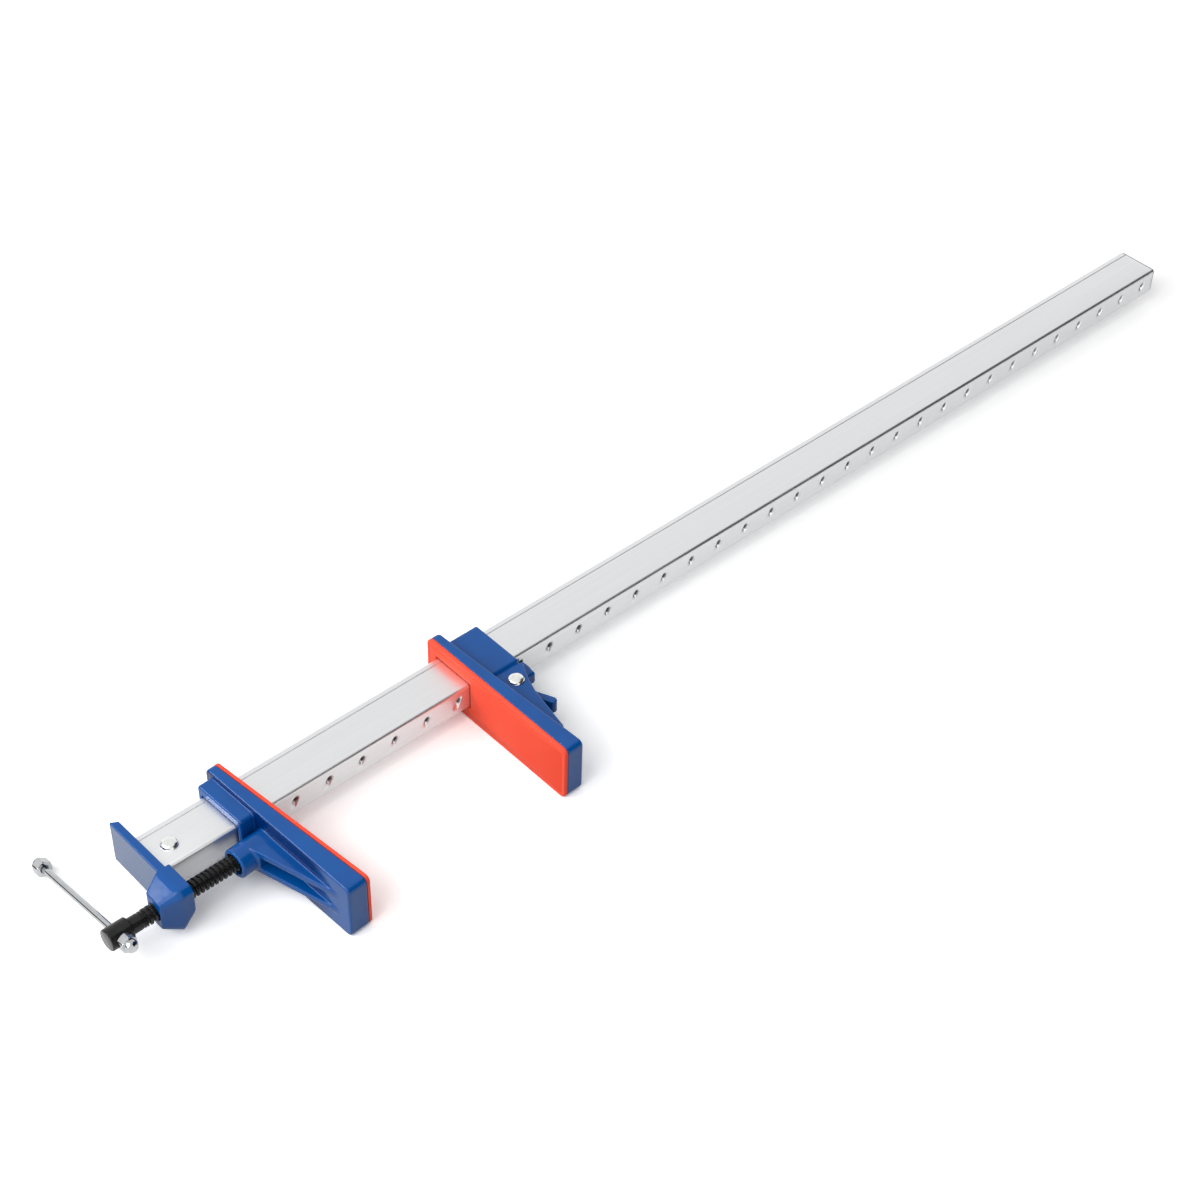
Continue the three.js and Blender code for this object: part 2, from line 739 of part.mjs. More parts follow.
// Sliding jaw with its pad, latch, latch pin and spring
const slideCasting = piece("sliding_jaw", makeSlidingJaw(), enamel);
const slidePad = piece("sliding_jaw_pad", makePad(
  jawFar - jawLength, jawFar, 0, slidePlay, -barSide), padPlastic);
slidePad.rotation.y = Math.PI;
slidePad.position.z = jawHeight;
const latch = piece("latch_lever", makeLatch(), enamel);
latch.position.set(latchPivotBehind, latchPivotY, axisHeight);
const latchPin = piece("latch_pin", rivet(
  axisHeight - webHeight / 2, axisHeight + webHeight / 2), zincPlate);
latchPin.position.set(latchPivotBehind, latchPivotY, 0);
const spring = piece("latch_spring", makeSpring(springEnd - springStart), springSteel);
spring.position.set(springStart, latchPivotY - springBelowPivot, axisHeight);
const slidingJaw = assembly(
  [slideCasting, slidePad, latch, latchPin, spring],
  new THREE.Vector3(slideJawFront, 0, 0));

// Whole clamp, its origin under the middle of its box
const clamp = new THREE.Group();
clamp.add(bar, fixedHead, headRivet, screwTrain, frontJaw, slidingJaw);
clamp.updateMatrixWorld(true);
const box = new THREE.Box3().setFromObject(clamp, true);
const middle = box.getCenter(new THREE.Vector3());
clamp.position.set(-middle.x, -middle.y, -box.min.z);

export default clamp;
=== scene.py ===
"""Parallel bar clamp lying on its two jaws on a pale studio floor.

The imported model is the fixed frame. Each sub-assembly below is a class that
holds its own sizes in millimetres, makes its meshes and dresses them.
"""

from __future__ import annotations

import logging
import math
from dataclasses import dataclass, field
from enum import Enum
from typing import Callable, Sequence

import bmesh
import bpy
import numpy as np
from mathutils import Euler, Matrix, Vector


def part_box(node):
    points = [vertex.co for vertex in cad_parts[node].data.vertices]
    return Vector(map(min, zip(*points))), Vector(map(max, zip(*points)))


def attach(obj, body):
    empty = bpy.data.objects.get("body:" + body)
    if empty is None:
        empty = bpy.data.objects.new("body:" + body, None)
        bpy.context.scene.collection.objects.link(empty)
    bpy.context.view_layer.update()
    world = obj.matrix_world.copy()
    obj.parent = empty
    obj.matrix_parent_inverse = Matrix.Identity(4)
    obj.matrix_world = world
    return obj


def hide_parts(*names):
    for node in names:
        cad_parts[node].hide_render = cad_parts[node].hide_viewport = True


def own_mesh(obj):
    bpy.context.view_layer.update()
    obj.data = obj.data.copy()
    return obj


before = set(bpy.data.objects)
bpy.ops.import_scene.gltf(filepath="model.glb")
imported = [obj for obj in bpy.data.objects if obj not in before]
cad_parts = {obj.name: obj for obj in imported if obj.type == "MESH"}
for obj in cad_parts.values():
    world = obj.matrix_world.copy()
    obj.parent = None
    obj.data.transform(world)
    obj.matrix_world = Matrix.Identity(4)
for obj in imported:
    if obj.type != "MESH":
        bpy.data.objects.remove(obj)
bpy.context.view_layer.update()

log = logging.getLogger("clamp")

Array = np.ndarray
Shape = Callable[[Array, Array, Array], Array]
Faces = list[tuple[int, ...]]
Form = tuple[Array, Faces]

MM = 0.001
# A cut that runs right out of a casting ends this far away, in millimetres
BEYOND = 100
# Radius of a drilled hole's floor
DRILLED = 0.1
# Settling a mesh on its shape: its rounds, its probe as a share of the mesh's step, and the least
# square of a slope
SETTLE_ROUNDS = 3
PROBE_SHARE = 0.05
LEAST_SQUARE = 0.25
# Most of a noise's values lie in this range
NOISE_RANGE = (0.3, 0.7)


class Body(Enum):
    """Moving bodies of the frame that pieces ride on."""

    FRAME = "frame"
    SCREW = "screw"
    HANDLE = "handle"
    FRONT_JAW = "front_jaw_body"
    SLIDING_JAW = "sliding_jaw_body"
    LATCH = "latch"


class Slot(Enum):
    """Material slots of the record."""

    ENAMEL = "blue_enamel"
    PAD = "pad_plastic"
    ALUMINIUM = "mill_aluminium"
    ZINC = "zinc_steel"
    BLACK = "black_steel"
    CHROME = "chrome_plate"
    SPRING = "spring_steel"


class Axis(Enum):
    """Axis that a flat outline is drawn across; the value is the two axes that it is drawn in."""

    X = (1, 2)
    Y = (2, 0)
    Z = (0, 1)


# Finishes


def linear(code: str) -> tuple[float, float, float, float]:
    """Turns an sRGB hex colour into a linear one.

    Args:
        code: six hex digits, red first.

    Returns:
        Linear red, green and blue, and a full alpha.
    """
    shares = [int(code[place:place + 2], 16) / 255 for place in (0, 2, 4)]
    levels = [s / 12.92 if s <= 0.04045 else ((s + 0.055) / 1.055) ** 2.4 for s in shares]
    return (levels[0], levels[1], levels[2], 1.0)


def per_metre(size_mm: float) -> float:
    """Returns the texture scale at which one feature of a pattern is size_mm across."""
    return 1 / (size_mm * MM)


def put(
    tree: bpy.types.NodeTree,
    kind: str,
    inputs: dict[str | int, object] | None = None,
    **settings: object,
) -> bpy.types.Node:
    """Adds a node with its settings, values and links.

    Args:
        tree: the node tree that gets the node.
        kind: Blender's name for the type of node.
        inputs: for each input by name or number, a value or the output that feeds it.
        settings: the node's own properties.

    Returns:
        The new node.
    """
    node = tree.nodes.new(kind)
    for name, value in settings.items():
        setattr(node, name, value)
    for name, value in (inputs or {}).items():
        socket = node.inputs[name]
        if isinstance(value, bpy.types.NodeSocket):
            tree.links.new(value, socket)
        else:
            socket.default_value = value
    return node


def bare_material(name: str) -> bpy.types.Material:
    """Makes a material with an empty node tree.

    Args:
        name: the material's name.

    Returns:
        The material.
    """
    material = bpy.data.materials.new(name)
    material.use_nodes = True
    material.node_tree.nodes.clear()
    return material


@dataclass(frozen=True)
class Finish:
    """A finish: how its material looks and which slot of the record it stands for."""

    name: str
    slot: Slot

    def material(self) -> bpy.types.Material:
        """Makes the finish's material on first use, and finds it again later.

        Returns:
            The material.
        """
        found = bpy.data.materials.get(self.name)
        if found:
            return found
        material = bare_material(self.name)
        shader = self.shader(material.node_tree)
        put(material.node_tree, "ShaderNodeOutputMaterial", {"Surface": shader.outputs[0]})
        return material

    def shader(self, tree: bpy.types.NodeTree) -> bpy.types.Node:
        """Builds the finish's own shader.

        Args:
            tree: the material's node tree.

        Returns:
            The shader node.
        """
        raise NotImplementedError

    @staticmethod
    def noise(
        tree: bpy.types.NodeTree,
        size_mm: float,
        stretch: tuple[float, float, float] = (1, 1, 1),
        detail: float = 2,
    ) -> bpy.types.NodeSocket:
        """Adds a noise pattern fixed to the piece.

        Args:
            tree: the material's node tree.
            size_mm: how wide one blot of the noise is.
            stretch: how many times longer the blots are along each axis.
            detail: octaves of finer noise in it.

        Returns:
            The noise's value, from 0 to 1.
        """
        place = put(tree, "ShaderNodeTexCoord")
        scaled = put(tree, "ShaderNodeMapping", {
            "Vector": place.outputs["Object"],
            "Scale": [1 / share for share in stretch],
        })
        pattern = put(tree, "ShaderNodeTexNoise", {
            "Vector": scaled.outputs[0],
            "Scale": per_metre(size_mm),
            "Detail": detail,
        })
        return pattern.outputs["Fac"]

    @staticmethod
    def mapped(
        tree: bpy.types.NodeTree,
        value: bpy.types.NodeSocket,
        span: tuple[float, float],
        low: float = 0,
        high: float = 1,
    ) -> bpy.types.NodeSocket:
        """Maps a span of a value onto a range, and holds it beyond both ends.

        Args:
            tree: the material's node tree.
            value: the value, such as a noise's.
            span: where the value's span starts and ends.
            low: what its start gives.
            high: what its end gives.

        Returns:
            The mapped value.
        """
        spread = put(tree, "ShaderNodeMapRange", {
            "Value": value, "From Min": span[0], "From Max": span[1], "To Min": low, "To Max": high,
        })
        return spread.outputs[0]

    @staticmethod
    def mixed(
        tree: bpy.types.NodeTree, share: bpy.types.NodeSocket, first: object, second: object
    ) -> bpy.types.NodeSocket:
        """Runs from one colour to another.

        Args:
            tree: the material's node tree.
            share: 0 gives the first colour and 1 the second.
            first: the first colour, or the output that gives it.
            second: the second colour, or the output that gives it.

        Returns:
            The colour.
        """
        # A mix node has its factor at input 0, its colours at 6 and 7 and its colour result at 2
        return put(tree, "ShaderNodeMix", {0: share, 6: first, 7: second}, data_type="RGBA").outputs[2]

    @classmethod
    def blended(
        cls, tree: bpy.types.NodeTree, noise: bpy.types.NodeSocket, first: str, second: str
    ) -> bpy.types.NodeSocket:
        """Runs from one colour to another over a noise.

        Args:
            tree: the material's node tree.
            noise: the noise's value.
            first: sRGB hex of the first colour.
            second: sRGB hex of the second colour.

        Returns:
            The colour.
        """
        return cls.mixed(tree, cls.mapped(tree, noise, NOISE_RANGE), linear(first), linear(second))

    @classmethod
    def overlay(
        cls,
        tree: bpy.types.NodeTree,
        shader: bpy.types.Node,
        shares: Sequence[bpy.types.NodeSocket],
        colour: object,
    ) -> None:
        """Lays a second colour over a shader's own.

        Args:
            tree: the material's node tree.
            shader: the shader.
            shares: the second colour covers where all of these are 1.
            colour: the second colour, or the output that gives it.
        """
        share = shares[0]
        for other in shares[1:]:
            share = put(tree, "ShaderNodeMath", {0: share, 1: other}, operation="MULTIPLY").outputs[0]
        base = shader.inputs["Base Color"]
        tree.links.new(cls.mixed(tree, share, base.links[0].from_socket, colour), base)

    @staticmethod
    def relief(
        tree: bpy.types.NodeTree, height: bpy.types.NodeSocket, depth_mm: float
    ) -> bpy.types.NodeSocket:
        """Turns a height into a relief of the surface.

        Args:
            tree: the material's node tree.
            height: the height's value, from 0 to 1.
            depth_mm: how deep the relief is.

        Returns:
            The bent normal.
        """
        bump = put(tree, "ShaderNodeBump", {
            "Height": height, "Strength": 1.0, "Distance": depth_mm * MM,
        })
        return bump.outputs[0]


@dataclass(frozen=True)
class SprayedEnamel(Finish):
    """Enamel sprayed on cast iron: a deep blue gloss with a soft orange peel over the sand's grain."""

    name: str = "Sprayed_blue_enamel_on_cast_iron"
    slot: Slot = Slot.ENAMEL
    full: str = "02539F"
    thin: str = "024C96"
    peel_mm: float = 3.2
    sand_mm: float = 0.9
    sand_share: float = 0.25
    relief_mm: float = 0.025
    pool_mm: float = 24
    smooth: float = 0.1
    rough: float = 0.16
    ior: float = 1.5
    gloss: float = 0.4

    def shader(self, tree: bpy.types.NodeTree) -> bpy.types.Node:
        """Builds the enamel's shader.

        Args:
            tree: the material's node tree.

        Returns:
            The shader node.
        """
        # Orange peel is 2 to 4 mm across, and the sand's 0.3 mm grain is drawn coarser to show
        peel = self.noise(tree, self.peel_mm, detail=1)
        sand = self.noise(tree, self.sand_mm, detail=1)
        grain = put(tree, "ShaderNodeMath", {0: sand, 1: self.sand_share}, operation="MULTIPLY")
        both = put(tree, "ShaderNodeMath", {0: peel, 1: grain.outputs[0]}, operation="ADD")
        # The coat pools and thins over a few centimetres, which shifts its blue a little
        pools = self.noise(tree, self.pool_mm)
        return put(tree, "ShaderNodeBsdfPrincipled", {
            "Base Color": self.blended(tree, pools, self.full, self.thin),
            "Roughness": self.mapped(tree, peel, NOISE_RANGE, self.smooth, self.rough),
            "IOR": self.ior,
            "Specular IOR Level": self.gloss,
            "Normal": self.relief(tree, both.outputs[0], self.relief_mm),
        })


@dataclass(frozen=True)
class PaintedReflectionEnamel(SprayedEnamel):
    """The same enamel, with a painted reflection of the pale floor on the faces towards the screw's head.

    The painted face is the plate's: its normal's X and its Y in the row's metres tell it.
    """

    name: str = "Sprayed_blue_enamel_with_painted_floor_reflection"
    painted_reflection: str = "5E7498"
    painted_reflection_dark: str = "50678E"
    mottle_mm: float = 1.4
    flat: tuple[float, float] = (-0.97, -0.995)
    plate_y: tuple[float, float] = (0.0035, 0.0045)

    def shader(self, tree: bpy.types.NodeTree) -> bpy.types.Node:
        """Builds the enamel with its painted reflection.

        Args:
            tree: the material's node tree.

        Returns:
            The shader node.
        """
        shader = super().shader(tree)
        place = put(tree, "ShaderNodeTexCoord")
        facing = put(tree, "ShaderNodeSeparateXYZ", {0: place.outputs["Normal"]})
        spot = put(tree, "ShaderNodeSeparateXYZ", {0: place.outputs["Object"]})
        shares = [
            self.mapped(tree, facing.outputs["X"], self.flat),
            self.mapped(tree, spot.outputs["Y"], self.plate_y)]
        # Painted reflection: a paler greyer blue on the plate's -X faces, with a mottle about 1 mm across
        mottle = self.noise(tree, self.mottle_mm, detail=3)
        self.overlay(tree, shader, shares, self.blended(tree, mottle, self.painted_reflection, self.painted_reflection_dark))
        return shader


@dataclass(frozen=True)
class PaintedShadeEnamel(SprayedEnamel):
    """The same enamel on the front jaw, with painted shade in its colour on the plate's back round the
    gusset.

    The painted shade lies on the plate's back and ends where the gusset runs out. The normal's part
    across the plate, the place across it and the place along Y, both in the row's metres, tell it.
    """

    name: str = "Sprayed_blue_enamel_with_painted_shade_behind_the_plate"
    painted_shade: str = "012A66"
    cock: float = 2.5
    flat: tuple[float, float] = (-0.6, -0.9)
    back: tuple[float, float] = (-0.36875, -0.36775)
    run_out: tuple[float, float] = (-0.066, -0.05)

    def shader(self, tree: bpy.types.NodeTree) -> bpy.types.Node:
        """Builds the enamel with its painted shade.

        Args:
            tree: the material's node tree.

        Returns:
            The shader node.
        """
        shader = super().shader(tree)
        place = put(tree, "ShaderNodeTexCoord")
        turn = math.radians(self.cock)
        across = (math.cos(turn), math.sin(turn), 0)
        facing, behind = [
            put(tree, "ShaderNodeVectorMath", {0: place.outputs[name], 1: across}, operation="DOT_PRODUCT")
            for name in ("Normal", "Object")]
        spot = put(tree, "ShaderNodeSeparateXYZ", {0: place.outputs["Object"]})
        # Painted shade: the base colour turns deep blue on the plate's back behind the gusset, where shade
        # falls
        self.overlay(tree, shader, [
            self.mapped(tree, facing.outputs["Value"], self.flat),
            self.mapped(tree, behind.outputs["Value"], self.back),
            self.mapped(tree, spot.outputs["Y"], self.run_out),
        ], linear(self.painted_shade))
        return shader


@dataclass(frozen=True)
class MillAluminium(Finish):
    """Extruded aluminium as it leaves the mill: soft lengthwise die lines and a satin sheen."""

    name: str = "Extruded_mill_aluminium"
    slot: Slot = Slot.ALUMINIUM
    bright: str = "F2F3F4"
    dull: str = "ECEDEE"
    line_mm: float = 0.45
    line_length: float = 400
    cloud_mm: float = 16
    cloud_length: float = 6
    smooth: float = 0.34
    rough: float = 0.42
    relief_mm: float = 0.004

    def shader(self, tree: bpy.types.NodeTree) -> bpy.types.Node:
        """Builds the aluminium's shader.

        Args:
            tree: the material's node tree.

        Returns:
            The shader node.
        """
        # Die lines are about 0.1 mm apart and are drawn at 0.45 mm to show; they run the bar's length
        lines = self.noise(tree, self.line_mm, stretch=(self.line_length, 1, 1), detail=2)
        clouds = self.noise(tree, self.cloud_mm, stretch=(self.cloud_length, 1, 1))
        return put(tree, "ShaderNodeBsdfPrincipled", {
            "Base Color": self.blended(tree, lines, self.bright, self.dull),
            "Metallic": 1.0,
            "Roughness": self.mapped(tree, clouds, NOISE_RANGE, self.smooth, self.rough),
            "Normal": self.relief(tree, lines, self.relief_mm),
        })


@dataclass(frozen=True)
class MouldedPlastic(Finish):
    """Moulded ABS in a bright red orange: a fine spark texture that softens its sheen."""

    name: str = "Moulded_red_orange_ABS"
    slot: Slot = Slot.PAD
    body: str = "FF5034"
    pale: str = "FF573B"
    spark_mm: float = 0.8
    flow_mm: float = 30
    smooth: float = 0.42
    rough: float = 0.52
    relief_mm: float = 0.01
    ior: float = 1.5
    gloss: float = 0.3

    def shader(self, tree: bpy.types.NodeTree) -> bpy.types.Node:
        """Builds the plastic's shader.

        Args:
            tree: the material's node tree.

        Returns:
            The shader node.
        """
        # Spark texture is about 0.1 mm across and is drawn at 0.8 mm to show
        spark = self.noise(tree, self.spark_mm, detail=1)
        flow = self.noise(tree, self.flow_mm)
        return put(tree, "ShaderNodeBsdfPrincipled", {
            "Base Color": self.blended(tree, flow, self.body, self.pale),
            "Roughness": self.mapped(tree, spark, NOISE_RANGE, self.smooth, self.rough),
            "IOR": self.ior,
            "Specular IOR Level": self.gloss,
            "Normal": self.relief(tree, spark, self.relief_mm),
        })


@dataclass(frozen=True)
class BlackOxide(Finish):
    """Turned steel with an oiled black oxide: near black, with fine rings and pale rubbed crests."""

    name: str = "Turned_black_oxide_steel"
    slot: Slot = Slot.BLACK
    black: str = "101011"
    wear_and_sheen: str = "1D1D1E"
    ring_mm: float = 0.5
    ring_length: float = 30
    blot_mm: float = 2.5
    smooth: float = 0.16
    rough: float = 0.26
    relief_mm: float = 0.003
    ior: float = 1.45
    gloss: float = 0.4

    def shader(self, tree: bpy.types.NodeTree) -> bpy.types.Node:
        """Builds the black steel's shader.

        Args:
            tree: the material's node tree.

        Returns:
            The shader node.
        """
        # Turning marks are about 0.1 mm apart and are drawn at 0.5 mm to show
        rings = self.noise(
            tree, self.ring_mm, stretch=(1, self.ring_length, self.ring_length), detail=1)
        blots = self.noise(tree, self.blot_mm)
        return put(tree, "ShaderNodeBsdfPrincipled", {
            "Base Color": self.blended(tree, blots, self.black, self.wear_and_sheen),
            "Roughness": self.mapped(tree, rings, NOISE_RANGE, self.smooth, self.rough),
            "IOR": self.ior,
            "Specular IOR Level": self.gloss,
            "Normal": self.relief(tree, rings, self.relief_mm),
        })


@dataclass(frozen=True)
class BrightMetal(Finish):
    """Plated or polished steel, its polish a little uneven over a few millimetres."""

    name: str = "Polished_chrome_plate"
    slot: Slot = Slot.CHROME
    bright: str = "CACBCD"
    dull: str = "C0C2C4"
    smooth: float = 0.03
    rough: float = 0.09
    polish_mm: float = 4
    relief_mm: float = 0.01

    def shader(self, tree: bpy.types.NodeTree) -> bpy.types.Node:
        """Builds the metal's shader.

        Args:
            tree: the material's node tree.

        Returns:
            The shader node.
        """
        # Polishing leaves soft waves a few millimetres long
        waves = self.noise(tree, self.polish_mm)
        return put(tree, "ShaderNodeBsdfPrincipled", {
            "Base Color": self.blended(tree, waves, self.bright, self.dull),
            "Metallic": 1.0,
            "Roughness": self.mapped(tree, waves, NOISE_RANGE, self.smooth, self.rough),
            "Normal": self.relief(tree, waves, self.relief_mm),
        })


ENAMEL = SprayedEnamel()
# Enamel with a painted reflection on the fixed head's plate
PAINTED_REFLECTION_ENAMEL = PaintedReflectionEnamel()
# Enamel with painted shade behind the front jaw's plate
PAINTED_SHADE_ENAMEL = PaintedShadeEnamel()
ALUMINIUM = MillAluminium()
PLASTIC = MouldedPlastic()
BLACK_STEEL = BlackOxide()
CHROME = BrightMetal()
# Paler grey steel that paints the pale floor's reflection on the screw head's end face
PAINTED_REFLECTION_STEEL = BlackOxide("Black_oxide_steel_with_painted_reflection", black="4C4C4E", wear_and_sheen="626264")
# Dark aluminium that paints shade on the bar's bevelled ends
SHADED_END_ALUMINIUM = MillAluminium(
    "Aluminium_end_with_painted_shade", bright="45484B", dull="383B3E", line_mm=0.6, line_length=1, cloud_mm=4)
# Very dark aluminium that paints shade in the bar's bore and on the notches' upper walls
SHADED_BORE_ALUMINIUM = MillAluminium(
    "Aluminium_bore_with_painted_shade", bright="303234", dull="262829", line_mm=0.6, line_length=1, cloud_mm=4)
ZINC = BrightMetal(
    "Bright_zinc_plated_steel", Slot.ZINC, bright="FBFCFA", dull="F0F1EF", smooth=0.16, rough=0.26,
    polish_mm=2.5)
SPRING_STEEL = BrightMetal(
    "Drawn_spring_steel_wire", Slot.SPRING, bright="B4B7BA", dull="9A9DA0", smooth=0.25, rough=0.35,
    polish_mm=1.5)


# Solid forms


def slab(axis: int, low: float, high: float) -> Shape:
    """Returns the space between two planes across one axis."""
    middle, half = (low + high) / 2, (high - low) / 2
    return lambda *point: np.abs(point[axis] - middle) - half


def plane(normal: Sequence[float], point: Sequence[float]) -> Shape:
    """Makes the space behind a plane.

    Args:
        normal: the way out of the space.
        point: a point on the plane.

    Returns:
        The space's signed distance.
    """
    out = Vector(normal).normalized()
    offset = out.dot(Vector(point))
    return lambda x, y, z: out.x * x + out.y * y + out.z * z - offset


def panel(axis: Axis, low: tuple[float, float], high: tuple[float, float], corner: float) -> Shape:
    """Makes an endless bar with a rectangular section and round corners.

    Args:
        axis: the way the bar runs.
        low: lowest corner of its section.
        high: highest corner of its section.
        corner: radius of its corners.

    Returns:
        The bar's signed distance.
    """
    across, up = axis.value

    def distance(*point: Array) -> Array:
        """Gives the signed distance at each point.

        Args:
            point: the points' X, Y and Z.

        Returns:
            The distances, below zero inside.
        """
        u = np.abs(point[across] - (low[0] + high[0]) / 2) - (high[0] - low[0]) / 2 + corner
        v = np.abs(point[up] - (low[1] + high[1]) / 2) - (high[1] - low[1]) / 2 + corner
        outside = np.sqrt(np.maximum(u, 0) ** 2 + np.maximum(v, 0) ** 2)
        return outside + np.minimum(np.maximum(u, v), 0) - corner

    return distance


def box_bar(middle: tuple[float, float], half: tuple[float, float], corner: float) -> Shape:
    """Makes an endless bar along X with a rectangular section.

    Args:
        middle: its middle in Y and Z.
        half: half its width and half its height.
        corner: radius of its corners.

    Returns:
        The bar's signed distance.
    """
    low = (middle[0] - half[0], middle[1] - half[1])
    high = (middle[0] + half[0], middle[1] + half[1])
    return panel(Axis.X, low, high, corner)


def rod(axis: Axis, middle: tuple[float, float], radius: float) -> Shape:
    """Makes an endless round rod.

    Args:
        axis: the way the rod runs.
        middle: its middle in the axis's own two directions.
        radius: its radius.

    Returns:
        The rod's signed distance.
    """
    across, up = axis.value
    return lambda *point: np.sqrt(
        (point[across] - middle[0]) ** 2 + (point[up] - middle[1]) ** 2) - radius


def inset(points: Sequence[tuple[float, float]], depth: float) -> list[tuple[float, float]]:
    """Moves each side of an outline inwards.

    Args:
        points: the outline's corners, counter-clockwise.
        depth: how far each side moves.

    Returns:
        The corners of the smaller outline.
    """
    moved = []
    for place, point in enumerate(points):
        here = Vector(point)
        before = (here - Vector(points[place - 1])).normalized()
        after = (Vector(points[(place + 1) % len(points)]) - here).normalized()
        inward = Vector((-before.y - after.y, before.x + after.x))
        moved.append(tuple(here + inward * (depth / (1 + before.dot(after)))))
    return moved


def prism(axis: Axis, points: Sequence[tuple[float, float]], corner: float) -> Shape:
    """Makes an endless prism over an outline, its corners rounded.

    Args:
        axis: the way the prism runs.
        points: the outline's corners, counter-clockwise.
        corner: radius of its corners.

    Returns:
        The prism's signed distance.
    """
    across, up = axis.value
    core = inset(points, corner)

    def distance(*point: Array) -> Array:
        """Gives the signed distance at each point.

        Args:
            point: the points' X, Y and Z.

        Returns:
            The distances, below zero inside.
        """
        u, v = point[across], point[up]
        nearest = np.inf
        sign = 1.0
        for place, (start_u, start_v) in enumerate(core):
            end_u, end_v = core[place - 1]
            side_u, side_v = end_u - start_u, end_v - start_v
            from_u, from_v = u - start_u, v - start_v
            share = np.clip(
                (from_u * side_u + from_v * side_v) / (side_u ** 2 + side_v ** 2), 0, 1)
            nearest = np.minimum(
                nearest, (from_u - side_u * share) ** 2 + (from_v - side_v * share) ** 2)
            above, below = v >= start_v, v < end_v
            left = side_u * from_v > side_v * from_u
            crossed = (above & below & left) | (~above & ~below & ~left)
            sign = np.where(crossed, -sign, sign)
        return sign * np.sqrt(nearest) - corner

    return distance


def meet(edge: float, *shapes: Shape) -> Shape:
    """Makes the space where all shapes overlap.

    Args:
        edge: radius of the edges where the shapes meet.
        shapes: the shapes.

    Returns:
        The common space's signed distance.
    """

    def distance(*point: Array) -> Array:
        """Gives the signed distance at each point.

        Args:
            point: the points' X, Y and Z.

        Returns:
            The distances, below zero inside.
        """
        sides = [shape(*point) + edge for shape in shapes]
        nearest, squares = sides[0], np.maximum(sides[0], 0) ** 2
        for side in sides[1:]:
            nearest = np.maximum(nearest, side)
            squares = squares + np.maximum(side, 0) ** 2
        return np.minimum(nearest, 0) + np.sqrt(squares) - edge

    return distance


def hollow(shape: Shape) -> Shape:
    """Returns the space outside a shape."""
    return lambda *point: -shape(*point)


def join(fillet: float, *shapes: Shape) -> Shape:
    """Returns the shapes as one, with a fillet of that radius where they run together."""
    return hollow(meet(fillet, *[hollow(shape) for shape in shapes]))


def cut(edge: float, shape: Shape, *tools: Shape) -> Shape:
    """Returns the shape without the tools, the cut's edges rounded."""
    return meet(edge, shape, *[hollow(tool) for tool in tools])


def convex(corners: Sequence[Sequence[float]], edge: float) -> Shape:
    """Makes the smallest convex solid round the corners.

    Args:
        corners: the corners.
        edge: radius of its edges.

    Returns:
        The solid's signed distance.
    """
    mesh = bmesh.new()
    for corner in corners:
        mesh.verts.new(corner)
    bmesh.ops.convex_hull(mesh, input=mesh.verts)
    mesh.normal_update()
    middle = sum((Vector(corner) for corner in corners), Vector()) / len(corners)
    sides: dict[tuple[float, ...], Shape] = {}
    for face in mesh.faces:
        normal, spot = face.normal.copy(), face.calc_center_median()
        if normal.dot(spot - middle) < 0:
            normal.negate()
        sides.setdefault(tuple(round(value, 3) for value in normal), plane(normal, spot))
    mesh.free()
    return meet(edge, *sides.values())


def skin(shape: Shape, low: Sequence[float], high: Sequence[float], step: float) -> Form:
    """Wraps a closed mesh of even quads round a shape.

    Args:
        shape: the shape's signed distance, in millimetres.
        low: lowest corner of a box round it.
        high: highest corner of that box.
        step: width of the quads.

    Returns:
        The mesh's points and faces.
    """
    rows = [np.arange(start - 2 * step, end + 2.5 * step, step) for start, end in zip(low, high)]
    values = shape(*np.meshgrid(*rows, indexing="ij", sparse=True))
    inside = values < 0
    size = np.array(inside.shape) - 1
    corners = [(i, j, k) for i in (0, 1) for j in (0, 1) for k in (0, 1)]
    filled = sum(
        inside[i:i + size[0], j:j + size[1], k:k + size[2]].astype(np.int8) for i, j, k in corners)
    mixed = (filled > 0) & (filled < 8)
    cells = np.argwhere(mixed)
    numbers = np.full(mixed.shape, -1)
    numbers[mixed] = np.arange(len(cells))
    total, crossings = np.zeros((len(cells), 3)), np.zeros(len(cells))
    for start in corners:
        for axis in range(3):
            if start[axis]:
                continue
            end = np.array(start)
            end[axis] = 1
            here = values[tuple((cells + start).T)]
            there = values[tuple((cells + end).T)]
            crossed = (here < 0) != (there < 0)
            share = here[crossed] / (here[crossed] - there[crossed])
            total[crossed] += np.array(start) + share[:, None] * (end - start)
            crossings[crossed] += 1
    points = np.array([row[0] for row in rows]) + (cells + total / crossings[:, None]) * step
    quads = []
    for axis in range(3):
        second, third = np.eye(3, dtype=int)[[(axis + 1) % 3, (axis + 2) % 3]]
        ahead = np.eye(3, dtype=int)[axis]
        upto = np.array(inside.shape) - ahead
        here = inside[:upto[0], :upto[1], :upto[2]]
        there = inside[ahead[0]:, ahead[1]:, ahead[2]:]
        spots = np.argwhere(here != there)
        ring = [spots - second - third, spots - third, spots, spots - second]
        quad = np.stack([numbers[tuple(spot.T)] for spot in ring], 1)
        outward = here[tuple(spots.T)]
        quads.append(np.where(outward[:, None], quad, quad[:, ::-1]))
    return settle(shape, points, step), [tuple(quad) for quad in np.concatenate(quads).tolist()]


